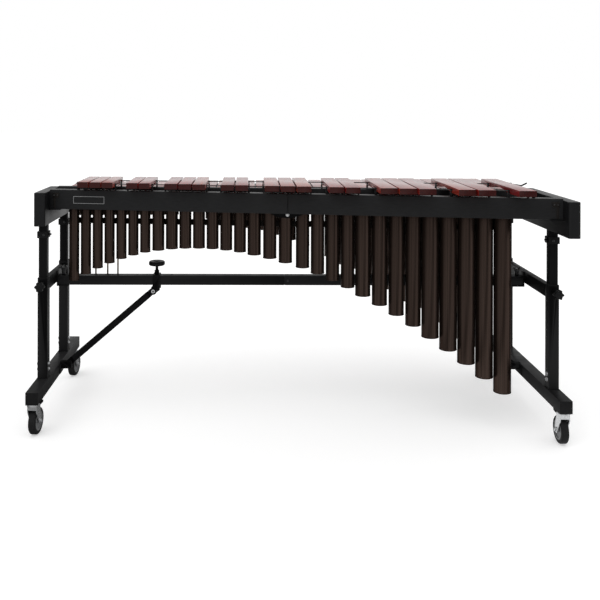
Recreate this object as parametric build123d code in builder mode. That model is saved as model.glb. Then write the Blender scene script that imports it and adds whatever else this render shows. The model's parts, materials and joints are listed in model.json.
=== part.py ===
from build123d import *
import math
import os

# A concert marimba of 31 natural and 21 accidental bars on a wheeled stand of adjustable height.
# Millimetres. +Z is up, the bass end is at +X, the player stands at +Y and the audience at -Y.
# The origin is on the floor, under the middle of the whole outline.

os.makedirs("parts", exist_ok=True)

# ---------------------------------------------------------------- driving dimensions
span = 2064.0                    # outside of one cheek to the outside of the other
cheek_thick = 45.0
leg_inset = 29.0                 # leg centres from the cheeks' outsides
cheek_top = 922.0
cheek_bottom = 788.0
cheek_drop = 30.0                # the cheek's top is this much lower on the natural side
cheek_curve = 130.0              # the drop takes this length of the cheek
cheek_corner = 9.0
high_cheek_front = -237.0        # reaches from the stand's middle line, high end
high_cheek_back = 238.0
low_cheek_front = -500.0         # the same at the low end
low_cheek_back = 390.0
joint_x = -26.0                  # the rails and the crossbar come apart here
seam = 1.0

high_foot_front = -365.0
high_foot_back = 367.0
low_foot_front = -440.0
low_foot_back = 400.0
high_legs = (-190.0, 158.0)      # front and back leg at the high end
low_legs = (-300.0, 234.0)
foot_size = 48.0
foot_wall = 2.5
cap_thick = 4.0
lower_leg_wall = 1.5
lower_leg_top = 576.0
upper_leg_size = 32.6
upper_leg_wall = 2.0
upper_leg_bottom = 330.0
bush_wall = 1.3
bush_lip = 3.0
slide_gap = 0.3                  # clearance around an upper leg in its bush
fit_gap = 0.1                    # clearance of pieces that sit fast in each other
socket_wall = 5.0
socket_bottom = 738.0
socket_height = 26.0

end_bar_bottom = 521.0
end_bar_height = 48.0
end_bar_thick = 25.0
crossbar_bottom = 509.0
crossbar_height = 39.0
crossbar_depth = 41.0
crossbar_wall = 2.5
plate = 4.0                      # steel plate of the brackets
bolt_inset = 50.0
end_screw_inset = 21.0           # hand screws from the crossbar's ends
end_screw_radius = 4.0
end_screw_collar = 8.0

clamp_x = 569.0                  # brace clamps, from the middle of the stand
clamp_pin_shift = 13.0           # a brace's pin is nearer the leg than the clamp's screw
clamp_lug_radius = 15.0
clamp_width = 30.0
clamp_pin_z = 483.0
clamp_knob_lift = 41.0           # from the crossbar's top to the brace knob
clamp_knob_radius = 34.0
clamp_knob_height = 18.0
screw_radius = 6.0
brace_radius = 14.0
brace_tab = 6.0
pin_radius = 5.0
running_gap = 0.06
foot_pin_x = 945.0
foot_pin_drop = 3.0              # below the foot's top

leg_knob_z = 552.0
leg_knob_radius = 20.0
leg_knob_length = 22.0
lobe_radius = 5.0
leg_boss_length = 30.0
leg_boss_radius = 10.0
stud_radius = 4.0

wheel_radius = 50.0
wheel_width = 28.0
hub_radius = 36.0
axle_radius = 4.0
caster_trail = 28.0
caster_front_inset = 24.0        # swivel axis from the foot's front end
caster_back_inset = 50.0         # and from its back end
fork_gap = 32.0
fork_plate = 3.0
wheel_clearance = 18.0           # from the tyre to the fork's top
fork_skirt = 15.0                # the fork's front is folded down this far
race_height = 9.0
race_radius = 23.0
stem_radius = 5.5
high_front_heading = 6.0         # direction each caster trails in, degrees from +Y towards +X
high_back_heading = 8.0
low_front_heading = 1.0
low_back_heading = 172.0

octaves = [(8, 50.2), (7, 55.5), (7, 60.5), (9, 69.5)]    # bars and their pitch, from the high end
top_note_edge = -939.0           # high side of the highest natural bar
bar_gap = 6.5
bar_thick = 22.0
natural_top = 926.0
accidental_top = 965.0
node_share = 0.224               # a bar's still points lie this share of its length from each end
arch_share = 0.22                # half width of a bar's hollow, as a share of its length
high_arch = 2.0
low_arch = 12.0
cord_radius = 2.0
cord_hole_radius = 2.8
high_note_x = -917.0             # the outlines of the two rows are straight lines in plan,
low_note_x = 865.0               # given by their places at the first and the last natural bar
natural_front = (-21.0, -99.0)
natural_back = (189.0, 361.0)
accidental_front = (-217.0, -528.0)
accidental_back = (13.0, -54.5)

front_rail_thick = 40.0
front_rail_height = 78.0
inner_rail_thick = 30.0
inner_rail_height = 60.0
accidental_rail_gap = 14.0       # from the rails' tops to the undersides of the bars
natural_rail_gap = 10.0
post_thick = 3.5
post_width = 12.0
post_slot = 5.4
post_above_cord = 3.0
peg_radius = 5.7
peg_inset = 14.0                 # end peg from the side of the last bar

# The front bank's tubes beside the joints of the bars above: tube number, distance along X.
bank_shifts = [
    (1, -11.0), (7, -14.0), (8, -9.5), (14, -8.5), (17, -2.0), (18, 6.0), (22, 2.0), (26, -15.0), (30, -17.0),
]
tube_sizes = [(7, 42.0), (14, 49.0), (21, 54.0), (25, 60.0), (31, 67.0)]    # last tube, diameter
tube_wall = 1.6
front_tube_top = 915.0
back_tube_top = 885.0
arch_top = 692.0                 # the front bank's lower ends follow an arch
arch_tube = 11
arch_fall = 1.283
arch_power = 2.05
stop_thick = 4.0
strap_bottom = 780.0
strap_height = 24.0
strap_thick = 3.0
back_strap_bottom = 800.0
hanger_width = 30.0
hanger_inset = 70.0
touch_gap = 0.1
stay_rod_radius = 3.5
stay_rod_bottom = 515.0
stay_rods_at = (-835.0, -784.0, -740.0)
sound_speed = 343000.0           # mm per second
top_frequency = 2093.0           # the highest natural bar, a C

# ---------------------------------------------------------------- places worked out from them
leg_x = span / 2 - leg_inset
cheek_inner = span / 2 - cheek_thick
fork_top = 2 * wheel_radius + wheel_clearance
foot_bottom = fork_top + race_height
foot_top = foot_bottom + foot_size
foot_pin_z = foot_top - foot_pin_drop
lower_leg_size = upper_leg_size + 2 * (slide_gap + bush_wall + fit_gap + lower_leg_wall)
crossbar_top = crossbar_bottom + crossbar_height
clamp_knob_bottom = crossbar_top + clamp_knob_lift
crossbar_end = leg_x - end_bar_thick / 2 - plate
cheek_low_top = cheek_top - cheek_drop
cord_in_bar = bar_thick / 2


# Natural bars from the high end: left edge and pitch. Accidentals stand over the joints
# between them, except between B and C and between E and F.
naturals = []
edge = top_note_edge
for count, pitch in octaves:
    for _ in range(count):
        naturals.append((edge, pitch))
        edge += pitch
boundaries = [(left, pitch) for left, pitch in naturals[1:]]
accidentals = [
    (left - pitch / 2, pitch)
    for number, (left, pitch) in enumerate(boundaries, start=1)
    if number % 7 not in (1, 5)
]
scale_steps = [0, 1, 3, 5, 7, 8, 10]      # half tones down from a C to the naturals below it


def row_reach(ends, x):
    # A straight line in plan through its two given places.
    share = (x - high_note_x) / (low_note_x - high_note_x)
    return ends[0] + (ends[1] - ends[0]) * share


# The stand's middle line, placed so that the whole outline is centred on the origin: its front
# is the lowest accidental bar and its back is the low foot.
lowest_accidental_x = accidentals[-1][0] + accidentals[-1][1] / 2
stand_middle_y = -(row_reach(accidental_front, lowest_accidental_x) + low_foot_back) / 2
crossbar_y = stand_middle_y - 5.0


def along(ends, x):
    return stand_middle_y + row_reach(ends, x)


def node_line(front, back, from_back):
    # The line of still points of a row of bars, where the cord runs and the rail stands.
    def line(x):
        length = along(back, x) - along(front, x)
        if from_back:
            return along(back, x) - node_share * length
        return along(front, x) + node_share * length
    return line


accidental_outer = node_line(accidental_front, accidental_back, False)
accidental_inner = node_line(accidental_front, accidental_back, True)
natural_inner = node_line(natural_front, natural_back, False)
natural_outer = node_line(natural_front, natural_back, True)

def block(x, y, z, mode=Mode.ADD):
    # A box from its low and high places along each axis.
    with Locations(((x[0] + x[1]) / 2, (y[0] + y[1]) / 2, (z[0] + z[1]) / 2)):
        Box(x[1] - x[0], y[1] - y[0], z[1] - z[0], mode=mode)


def post(x, y, z, size, wall, mode=Mode.ADD):
    # An upright square tube.
    block((x - size / 2, x + size / 2), (y - size / 2, y + size / 2), z, mode)
    inner = size / 2 - wall
    block((x - inner, x + inner), (y - inner, y + inner), z, Mode.SUBTRACT)


def rod(start, end, radius, mode=Mode.ADD):
    # A round bar between two points.
    axis = Vector(*end) - Vector(*start)
    with Locations(Plane(origin=start, z_dir=axis)):
        Cylinder(radius, axis.length, align=(Align.CENTER, Align.CENTER, Align.MIN), mode=mode)


def plan_bar(x_from, x_to, line, front, back, bottom, height):
    # The plan of a straight bar that follows a line, from front to back of that line.
    with BuildSketch(Plane.XY.offset(bottom)) as outline:
        with BuildLine():
            Polyline(
                (x_from, line(x_from) + front),
                (x_to, line(x_to) + front),
                (x_to, line(x_to) + back),
                (x_from, line(x_from) + back),
                close=True,
            )
        make_face()
    extrude(outline.sketch, amount=height)


def save(part, name):
    part.label = name
    export_step(part, f"parts/{name}.step")


# ---------------------------------------------------------------- feet and legs
ends = {
    "high": (-leg_x, high_foot_front, high_foot_back, high_legs, high_front_heading, high_back_heading),
    "low": (leg_x, low_foot_front, low_foot_back, low_legs, low_front_heading, low_back_heading),
}
leg_places = []
caster_places = []
for x, foot_front, foot_back, legs, front_heading, back_heading in ends.values():
    # Place of a leg's centre, and the side its knob is on: away from the end bar.
    leg_places += [(x, stand_middle_y + legs[0], -1), (x, stand_middle_y + legs[1], 1)]
    caster_places += [
        (x, stand_middle_y + foot_front + caster_front_inset, front_heading),
        (x, stand_middle_y + foot_back - caster_back_inset, back_heading),
    ]

for name, (x, foot_front, foot_back, legs, _, _) in ends.items():
    front = stand_middle_y + foot_front + cap_thick
    back = stand_middle_y + foot_back - cap_thick
    inner = foot_size / 2 - foot_wall
    with BuildPart() as foot:
        block((x - foot_size / 2, x + foot_size / 2), (front, back), (foot_bottom, foot_top))
        block(
            (x - inner, x + inner),
            (front, back),
            (foot_bottom + foot_wall, foot_top - foot_wall),
            Mode.SUBTRACT,
        )
        for caster_x, caster_y, _ in caster_places:
            if caster_x == x:
                rod(
                    (x, caster_y, foot_bottom - 1),
                    (x, caster_y, foot_bottom + foot_wall + 1),
                    stem_radius + running_gap,
                    Mode.SUBTRACT,
                )
    save(foot.part, f"foot_{name}")

with BuildPart() as foot_caps:
    plug = foot_size / 2 - foot_wall - fit_gap
    middle_z = foot_bottom + foot_size / 2
    for x, foot_front, foot_back, _, _, _ in ends.values():
        front = stand_middle_y + foot_front
        back = stand_middle_y + foot_back
        for lid, stop in (((front, front + cap_thick), front + 16.0), ((back - cap_thick, back), back - 16.0)):
            block((x - foot_size / 2, x + foot_size / 2), lid, (foot_bottom, foot_top))
            block((x - plug, x + plug), (min(lid[0], stop), max(lid[1], stop)), (middle_z - plug, middle_z + plug))
save(foot_caps.part, "foot_caps")

with BuildPart() as lower_legs:
    for x, y, side in leg_places:
        face = y + side * lower_leg_size / 2
        block(
            (x - lower_leg_size / 2, x + lower_leg_size / 2),
            (y - lower_leg_size / 2, y + lower_leg_size / 2),
            (foot_top, lower_leg_top),
        )
        rod((x, face - side * 0.5, leg_knob_z), (x, face + side * leg_boss_length, leg_knob_z), leg_boss_radius)
        inner = lower_leg_size / 2 - lower_leg_wall
        block((x - inner, x + inner), (y - inner, y + inner), (foot_top, lower_leg_top), Mode.SUBTRACT)
        rod(
            (x, face + side * (leg_boss_length + 1), leg_knob_z),
            (x, face - side * (lower_leg_wall + 1), leg_knob_z),
            stud_radius + slide_gap,
            Mode.SUBTRACT,
        )
save(lower_legs.part, "lower_legs")

bush_inner = upper_leg_size / 2 + slide_gap
bush_outer = lower_leg_size / 2 - lower_leg_wall - fit_gap
bush_bottom = leg_knob_z + leg_boss_radius + 2.0
with BuildPart() as leg_bushes:
    for x, y, _ in leg_places:
        block((x - bush_outer, x + bush_outer), (y - bush_outer, y + bush_outer), (bush_bottom, lower_leg_top))
        block(
            (x - lower_leg_size / 2, x + lower_leg_size / 2),
            (y - lower_leg_size / 2, y + lower_leg_size / 2),
            (lower_leg_top, lower_leg_top + bush_lip),
        )
        block(
            (x - bush_inner, x + bush_inner),
            (y - bush_inner, y + bush_inner),
            (bush_bottom, lower_leg_top + bush_lip),
            Mode.SUBTRACT,
        )
save(leg_bushes.part, "leg_bushes")

with BuildPart() as end_bars:
    for x, _, _, legs, _, _ in ends.values():
        block(
            (x - end_bar_thick / 2, x + end_bar_thick / 2),
            (
                stand_middle_y + legs[0] + lower_leg_size / 2,
                stand_middle_y + legs[1] - lower_leg_size / 2,
            ),
            (end_bar_bottom, end_bar_bottom + end_bar_height),
        )
        block(
            (x - end_bar_thick / 2 + foot_wall, x + end_bar_thick / 2 - foot_wall),
            (
                stand_middle_y + legs[0] + lower_leg_size / 2,
                stand_middle_y + legs[1] - lower_leg_size / 2,
            ),
            (end_bar_bottom + foot_wall, end_bar_bottom + end_bar_height - foot_wall),
            Mode.SUBTRACT,
        )
save(end_bars.part, "end_bars")

# ---------------------------------------------------------------- crossbar and braces
crossbar_front = crossbar_y - crossbar_depth / 2
crossbar_back = crossbar_y + crossbar_depth / 2
with BuildPart() as crossbars:
    for x in ((-crossbar_end, joint_x - seam / 2), (joint_x + seam / 2, crossbar_end)):
        block(x, (crossbar_front, crossbar_back), (crossbar_bottom, crossbar_top))
        block(
            x,
            (crossbar_front + crossbar_wall, crossbar_back - crossbar_wall),
            (crossbar_bottom + crossbar_wall, crossbar_top - crossbar_wall),
            Mode.SUBTRACT,
        )
    for side in (-1, 1):
        x = side * (crossbar_end - end_screw_inset)
        rod(
            (x, crossbar_y, crossbar_bottom - 1.0),
            (x, crossbar_y, crossbar_top + 1.0),
            end_screw_radius + slide_gap,
            Mode.SUBTRACT,
        )
save(crossbars.part, "crossbars")

joiner_length = 160.0
button_radius = 5.0
button_x = joint_x + 14.0
with BuildPart() as crossbar_joiner:
    inset = crossbar_wall + fit_gap
    block(
        (joint_x - joiner_length / 2, joint_x + joiner_length / 2),
        (crossbar_front + inset, crossbar_back - inset),
        (crossbar_bottom + inset, crossbar_top - inset),
    )
save(crossbar_joiner.part, "crossbar_joiner")

bracket_reach = 46.0
bracket_lip = 4.0
with BuildPart() as crossbar_brackets:
    for side in (-1, 1):
        inner = sorted((side * crossbar_end, side * (crossbar_end + plate)))
        shelf = sorted((side * (crossbar_end - bracket_reach), side * (crossbar_end + plate)))
        block(
            inner,
            (crossbar_front - bracket_lip, crossbar_back + bracket_lip),
            (crossbar_bottom - plate, end_bar_bottom + end_bar_height),
        )
        block(
            shelf,
            (crossbar_front - bracket_lip, crossbar_back + bracket_lip),
            (crossbar_bottom - plate, crossbar_bottom),
        )
        x = side * (crossbar_end - end_screw_inset)
        rod(
            (x, crossbar_y, crossbar_bottom - plate - 1.0),
            (x, crossbar_y, crossbar_bottom + 1.0),
            end_screw_radius + slide_gap,
            Mode.SUBTRACT,
        )
save(crossbar_brackets.part, "crossbar_brackets")

bolt_head_radius = 7.0
bolt_head_height = 5.0
with BuildPart() as crossbar_bolts:
    for side in (-1, 1):
        x = side * (crossbar_end - bolt_inset)
        rod((x, crossbar_y, crossbar_top), (x, crossbar_y, crossbar_top + bolt_head_height), bolt_head_radius)
    rod(
        (button_x, crossbar_front, crossbar_bottom + crossbar_height / 2),
        (button_x, crossbar_front - 3.0, crossbar_bottom + crossbar_height / 2),
        button_radius,
    )
save(crossbar_bolts.part, "crossbar_bolts")

# A hand screw with two wings clamps each end of the crossbar down on its bracket.
wing_span = 34.0
wing_top = crossbar_top + 42.0
for name, side in (("high", -1), ("low", 1)):
    x = side * (crossbar_end - end_screw_inset)
    with BuildPart() as end_screw:
        rod((x, crossbar_y, crossbar_bottom - plate), (x, crossbar_y, wing_top - 12.0), end_screw_radius)
        rod((x, crossbar_y, crossbar_top + slide_gap), (x, crossbar_y, crossbar_top + 22.0), end_screw_collar)
        for lean in (-1, 1):
            rod(
                (x + lean * 3.0, crossbar_y, crossbar_top + 16.0),
                (x + lean * (wing_span / 2 - 4.0), crossbar_y, wing_top - 5.0),
                4.0,
            )
    save(end_screw.part, f"end_screw_{name}")

tab_gap = 0.5                    # beside a brace's tab
clamp_gap = 0.2                  # around the crossbar in a clamp
clamp_roof = crossbar_top + clamp_gap
clamp_boss_top = clamp_roof + plate + 16.0
with BuildPart() as brace_clamps:
    for side in (-1, 1):
        x = side * clamp_x
        width = (x - clamp_width / 2, x + clamp_width / 2)
        front = crossbar_front - clamp_gap
        back = crossbar_back + clamp_gap
        pin_x = x + side * clamp_pin_shift
        for face in (front - plate, back):
            block(width, (face, face + plate), (crossbar_bottom - 4.0, clamp_roof + plate))
            with BuildSketch(Plane.XZ.offset(-face - plate)) as lug:
                with BuildLine():
                    Polyline(
                        (x - side * clamp_width / 2, crossbar_bottom), (x + side * clamp_width / 2, crossbar_bottom),
                        (pin_x + side * clamp_lug_radius, clamp_pin_z), (pin_x, clamp_pin_z - clamp_lug_radius),
                        (x - side * clamp_width / 2, clamp_pin_z + clamp_lug_radius / 3),
                        close=True,
                    )
                make_face()
                with Locations((pin_x, clamp_pin_z)):
                    Circle(clamp_lug_radius)
            extrude(lug.sketch, amount=plate)
        block(width, (front - plate, back + plate), (clamp_roof, clamp_roof + plate))
        rod((pin_x, front - plate - 3.0, clamp_pin_z), (pin_x, back + plate + 3.0, clamp_pin_z), pin_radius)
        rod((x, crossbar_y, clamp_roof), (x, crossbar_y, clamp_boss_top), screw_radius + 4.0)
        rod(
            (x, crossbar_y, clamp_roof - 1.0),
            (x, crossbar_y, clamp_boss_top + 1.0),
            screw_radius + slide_gap,
            Mode.SUBTRACT,
        )
save(brace_clamps.part, "brace_clamps")

for name, side in (("high", -1), ("low", 1)):
    x = side * clamp_x
    with BuildPart() as brace_knob:
        rod((x, crossbar_y, clamp_roof + 0.4), (x, crossbar_y, clamp_knob_bottom + 1.0), screw_radius)
        rod(
            (x, crossbar_y, clamp_knob_bottom),
            (x, crossbar_y, clamp_knob_bottom + clamp_knob_height),
            clamp_knob_radius,
        )
        knob_rims = brace_knob.edges().filter_by(GeomType.CIRCLE).sort_by(SortBy.RADIUS)[-2:]
        fillet(knob_rims, radius=6.0)
    save(brace_knob.part, f"brace_knob_{name}")

brace_run = foot_pin_x - clamp_x - clamp_pin_shift
brace_fall = clamp_pin_z - foot_pin_z
brace_length = math.hypot(brace_run, brace_fall)
tab_length = 30.0
brace_eye_radius = 14.0
hook_gap = 0.4                   # the hook rests loosely over the foot's pin
for name, side in (("high", -1), ("low", 1)):
    # Local x runs down the brace from its pivot, local y is level, local z is across it.
    down = Vector(side * brace_run, 0, -brace_fall).normalized()
    pivot = (side * (clamp_x + clamp_pin_shift), crossbar_y, clamp_pin_z)
    brace_plane = Plane(origin=pivot, x_dir=down, z_dir=(0, -side, 0))
    with BuildPart(brace_plane) as brace:
        with Locations((brace_length / 2, 0, 0)):
            Cylinder(brace_radius, brace_length - 2 * tab_length, rotation=(0, 90, 0))
        with Locations((brace_length / 2, 0, 0)):
            Box(brace_length, 2 * brace_radius - 2.0, brace_tab)
        for reach in (0, brace_length):
            with Locations((reach, 0, 0)):
                Cylinder(brace_eye_radius, brace_tab)
        Cylinder(pin_radius + running_gap, brace_tab + 2.0, mode=Mode.SUBTRACT)
        with Locations((brace_length, 0, 0)):
            Cylinder(pin_radius + hook_gap, brace_tab + 2.0, mode=Mode.SUBTRACT)
        # The hook's mouth opens square to the brace, the way it lifts off the foot's pin.
        with Locations(Location((brace_length, 0, 0), (0, 0, -90.0))):
            Box(
                2 * brace_eye_radius,
                2 * (pin_radius + hook_gap),
                brace_tab + 2.0,
                align=(Align.MIN, Align.CENTER, Align.CENTER),
                mode=Mode.SUBTRACT,
            )
    save(brace.part, f"brace_{name}")

ear_gap = brace_tab / 2 + tab_gap
ear_thick = 5.0
ear_bottom = foot_bottom + 4.0
with BuildPart() as foot_brackets:
    for side in (-1, 1):
        foot_face = side * (leg_x - foot_size / 2)
        tip = side * (foot_pin_x - 14.0)
        for front in (crossbar_y - ear_gap - ear_thick, crossbar_y + ear_gap):
            block(sorted((foot_face, tip)), (front, front + ear_thick), (foot_pin_z - 22.0, foot_pin_z + 10.0))
        block(
            sorted((foot_face, foot_face - side * plate)),
            (crossbar_y - 22.0, crossbar_y + 22.0),
            (ear_bottom, foot_top - 4.0),
        )
        reach = ear_gap + ear_thick + 4.0
        rod(
            (side * foot_pin_x, crossbar_y - reach, foot_pin_z),
            (side * foot_pin_x, crossbar_y + reach, foot_pin_z),
            pin_radius,
        )
save(foot_brackets.part, "foot_brackets")

# ---------------------------------------------------------------- casters and leg knobs
race_top = foot_bottom - slide_gap
axle_height = wheel_radius
pedal_pin = (18.0, fork_top - 12.0)    # trail and height of the brake pedal's pin
pedal_pin_radius = 2.5
pedal_reach = 56.0
pedal_width = 25.0
for number, (x, y, heading) in enumerate(caster_places, start=1):
    turn = math.radians(heading)
    caster = Plane(origin=(x, y, 0), x_dir=(math.cos(turn), -math.sin(turn), 0), z_dir=(0, 0, 1))
    cheek_x = fork_gap / 2 + fork_plate / 2
    with BuildPart(caster) as fork:
        for side in (-1, 1):
            with BuildSketch(caster * Plane.YZ.offset(side * cheek_x - fork_plate / 2)) as cheek_outline:
                with BuildLine():
                    Polyline(
                        (-12.0, fork_top),
                        (-12.0, fork_top - 22.0),
                        (caster_trail - 11.0, axle_height - 6.0),
                        (caster_trail - 5.0, axle_height - 11.0),
                        (caster_trail + 5.0, axle_height - 11.0),
                        (caster_trail + 11.0, axle_height - 6.0),
                        (caster_trail + 11.0, axle_height + 14.0),
                        (26.0, fork_top - 14.0),
                        (26.0, fork_top),
                        close=True,
                    )
                make_face()
            extrude(cheek_outline.sketch, amount=fork_plate)
        with Locations((0, 7.0, fork_top - fork_plate / 2)):
            Box(fork_gap + 2 * fork_plate, 38.0, fork_plate)
        with Locations((0, -12.0 + fork_plate / 2, fork_top - fork_skirt / 2)):
            Box(fork_gap + 2 * fork_plate, fork_plate, fork_skirt)
        with Locations((0, 0, (fork_top + race_top) / 2)):
            Cylinder(race_radius, race_top - fork_top)
        with Locations((0, 0, race_top + 14.0)):
            Cylinder(stem_radius, 30.0)
        with Locations((0, caster_trail, axle_height)):
            Cylinder(axle_radius, fork_gap + 2 * fork_plate + 6.0, rotation=(0, 90, 0))
        if number % 2:
            with Locations((0, pedal_pin[0], pedal_pin[1])):
                Cylinder(pedal_pin_radius, fork_gap + 2 * fork_plate, rotation=(0, 90, 0))
    save(fork.part, f"caster_fork_{number}")

    with BuildPart(caster) as tyre:
        with Locations((0, caster_trail, axle_height)):
            Cylinder(wheel_radius, wheel_width, rotation=(0, 90, 0))
        fillet(tyre.edges().filter_by(GeomType.CIRCLE), radius=6.0)
        with Locations((0, caster_trail, axle_height)):
            Cylinder(hub_radius, wheel_width, rotation=(0, 90, 0), mode=Mode.SUBTRACT)
    save(tyre.part, f"caster_tyre_{number}")

    with BuildPart(caster) as hub:
        with Locations((0, caster_trail, axle_height)):
            Cylinder(hub_radius - fit_gap / 2, wheel_width, rotation=(0, 90, 0))
            for side in (-1, 1):
                with Locations((side * wheel_width / 2, 0, 0)):
                    Cylinder(hub_radius - 5.0, 8.0, rotation=(0, 90, 0), mode=Mode.SUBTRACT)
            Cylinder(axle_radius + 5.0, wheel_width, rotation=(0, 90, 0))
            Cylinder(axle_radius + running_gap, wheel_width + 2.0, rotation=(0, 90, 0), mode=Mode.SUBTRACT)
    save(hub.part, f"caster_hub_{number}")

    if number % 2:
        with BuildPart(caster) as pedal:
            with Locations((0, pedal_pin[0], pedal_pin[1])):
                Cylinder(5.5, pedal_width, rotation=(0, 90, 0))
            with Locations((0, pedal_pin[0] + pedal_reach / 2, pedal_pin[1] + 2.0)):
                Box(pedal_width, pedal_reach, 5.0)
            with Locations((0, pedal_pin[0] + pedal_reach - 3.0, pedal_pin[1] + 4.0)):
                Box(pedal_width, 6.0, 9.0)
            with Locations((0, pedal_pin[0], pedal_pin[1])):
                Cylinder(
                    pedal_pin_radius + running_gap, pedal_width + 2.0, rotation=(0, 90, 0), mode=Mode.SUBTRACT
                )
        save(pedal.part, f"brake_pedal_{(number + 1) // 2}")

knob_core = leg_knob_radius - lobe_radius
for number, (x, y, side) in enumerate(leg_places, start=1):
    boss_face = y + side * (lower_leg_size / 2 + leg_boss_length)
    stud_tip = y + side * (upper_leg_size / 2 + slide_gap)
    with BuildPart() as leg_knob:
        rod((x, boss_face + side * 2.0, leg_knob_z), (x, stud_tip, leg_knob_z), stud_radius)
        rod(
            (x, boss_face + side * slide_gap, leg_knob_z),
            (x, boss_face + side * leg_knob_length, leg_knob_z),
            knob_core,
        )
        for lobe in range(6):
            angle = math.radians(60 * lobe)
            lobe_x = x + knob_core * math.cos(angle)
            lobe_z = leg_knob_z + knob_core * math.sin(angle)
            rod(
                (lobe_x, boss_face + side * 4.0, lobe_z),
                (lobe_x, boss_face + side * (leg_knob_length - 2.0), lobe_z),
                lobe_radius,
            )
    save(leg_knob.part, f"leg_knob_{number}")

# ---------------------------------------------------------------- cheeks and their legs
for name, x_low, front_reach, back_reach, drop_start in (
    ("high", -span / 2, high_cheek_front, high_cheek_back, 15.0),
    ("low", cheek_inner, low_cheek_front, low_cheek_back, -20.0),
):
    front = stand_middle_y + front_reach
    back = stand_middle_y + back_reach
    start = stand_middle_y + drop_start
    half_way = (start + cheek_curve / 2, cheek_top - cheek_drop / 2)
    with BuildPart() as cheek:
        with BuildSketch(Plane.YZ.offset(x_low)):
            with BuildLine():
                Polyline(
                    (start, cheek_top), (front, cheek_top), (front, cheek_bottom), (back, cheek_bottom),
                    (back, cheek_low_top), (start + cheek_curve, cheek_low_top),
                )
                upper = TangentArc((start, cheek_top), half_way, tangent=(1, 0))
                TangentArc(half_way, (start + cheek_curve, cheek_low_top), tangent=upper % 1)
            make_face()
        extrude(amount=cheek_thick)
        uprights = cheek.edges().filter_by(Axis.Z)
        fillet(uprights.group_by(Axis.Y)[0] + uprights.group_by(Axis.Y)[-1], radius=cheek_corner)
    save(cheek.part, f"cheek_{name}")

with BuildPart() as upper_legs:
    for x, y, _ in leg_places:
        post(x, y, (upper_leg_bottom, cheek_bottom), upper_leg_size, upper_leg_wall)
save(upper_legs.part, "upper_legs")

socket_size = upper_leg_size + 2 * (fit_gap + socket_wall)
socket_bolt_radius = 3.5
with BuildPart() as leg_sockets:
    for x, y, _ in leg_places:
        post(x, y, (socket_bottom, socket_bottom + socket_height), socket_size, socket_wall)
        side = -1 if x > 0 else 1
        face = x + side * socket_size / 2
        middle_z = socket_bottom + socket_height / 2
        rod((face - side, y, middle_z), (face + side * 9.0, y, middle_z), socket_bolt_radius)
save(leg_sockets.part, "leg_sockets")

# ---------------------------------------------------------------- rails
front_rail_top = accidental_top - bar_thick - accidental_rail_gap
natural_rail_top = natural_top - bar_thick - natural_rail_gap
rails = {
    "front_rails": (accidental_outer, front_rail_thick, front_rail_top, front_rail_height),
    "accidental_inner_rails": (accidental_inner, inner_rail_thick, front_rail_top, inner_rail_height),
    "natural_inner_rails": (natural_inner, inner_rail_thick, natural_rail_top, inner_rail_height),
    "natural_outer_rails": (natural_outer, inner_rail_thick, natural_rail_top, inner_rail_height),
}
rail_end = cheek_inner - plate
rail_nodes = {
    "front_rails": ["front_rails"],
    "accidental_inner_rails": ["accidental_inner_rails"],
    "natural_rails": ["natural_inner_rails", "natural_outer_rails"],
}
for node, members in rail_nodes.items():
    with BuildPart() as rail:
        for name in members:
            line, thick, top, height = rails[name]
            for x_from, x_to in ((-rail_end, joint_x - seam / 2), (joint_x + seam / 2, rail_end)):
                plan_bar(x_from, x_to, line, -thick / 2, thick / 2, top - height, height)
    save(rail.part, node)

shelf_reach = 44.0
with BuildPart() as rail_brackets:
    for line, thick, top, height in rails.values():
        for side in (-1, 1):
            middle = line(side * rail_end)
            y = (middle - thick / 2 - 2.0, middle + thick / 2 + 2.0)
            bottom = top - height
            block(sorted((side * rail_end, side * cheek_inner)), y, (bottom - plate, top - 6.0))
            block(sorted((side * (rail_end - shelf_reach), side * cheek_inner)), y, (bottom - plate, bottom))
save(rail_brackets.part, "rail_brackets")

# A plate behind each rail bridges its joint; the front one shows a rounded lower edge with a bolt.
joint_length = 138.0
joint_below = 19.0
joint_overlap = 46.0
with BuildPart() as rail_joints:
    for name, (line, thick, top, height) in rails.items():
        bottom = top - height
        below = joint_below if name == "front_rails" else 0.0
        front = thick / 2
        plan_bar(
            joint_x - joint_length / 2, joint_x + joint_length / 2, line,
            front, front + plate, bottom, joint_overlap,
        )
        for reach in (-48.0, -18.0, 18.0, 48.0):
            x = joint_x + reach
            back = line(x) + front + plate
            rod((x, back - 1.0, bottom + 22.0), (x, back + 5.0, bottom + 22.0), 5.5)
        if below:
            bend = (joint_length ** 2 / 4 + below ** 2) / (2 * below)
            with BuildSketch(Plane.XZ.offset(-line(joint_x) - front + 8.0)) as hood:
                with BuildLine():
                    ThreePointArc(
                        (joint_x - joint_length / 2, bottom), (joint_x, bottom - below),
                        (joint_x + joint_length / 2, bottom),
                    )
                    Line((joint_x + joint_length / 2, bottom), (joint_x - joint_length / 2, bottom))
                make_face()
            extrude(hood.sketch, amount=10.0, both=True)
save(rail_joints.part, "rail_joints")

# ---------------------------------------------------------------- bars


def bar_outline(front, back, top, x, share):
    # Side view of a bar with the tuning hollow under its middle.
    middle = (front + back) / 2
    hollow = arch_share * (back - front)
    depth = high_arch + (low_arch - high_arch) * share
    bottom = top - bar_thick
    with BuildSketch(Plane.YZ.offset(x)) as outline:
        with BuildLine():
            Polyline(
                (middle - hollow, bottom), (front, bottom), (front, top),
                (back, top), (back, bottom), (middle + hollow, bottom),
            )
            ThreePointArc(
                (middle + hollow, bottom), (middle, bottom + depth), (middle - hollow, bottom)
            )
        make_face()
    return outline.sketch


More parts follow.
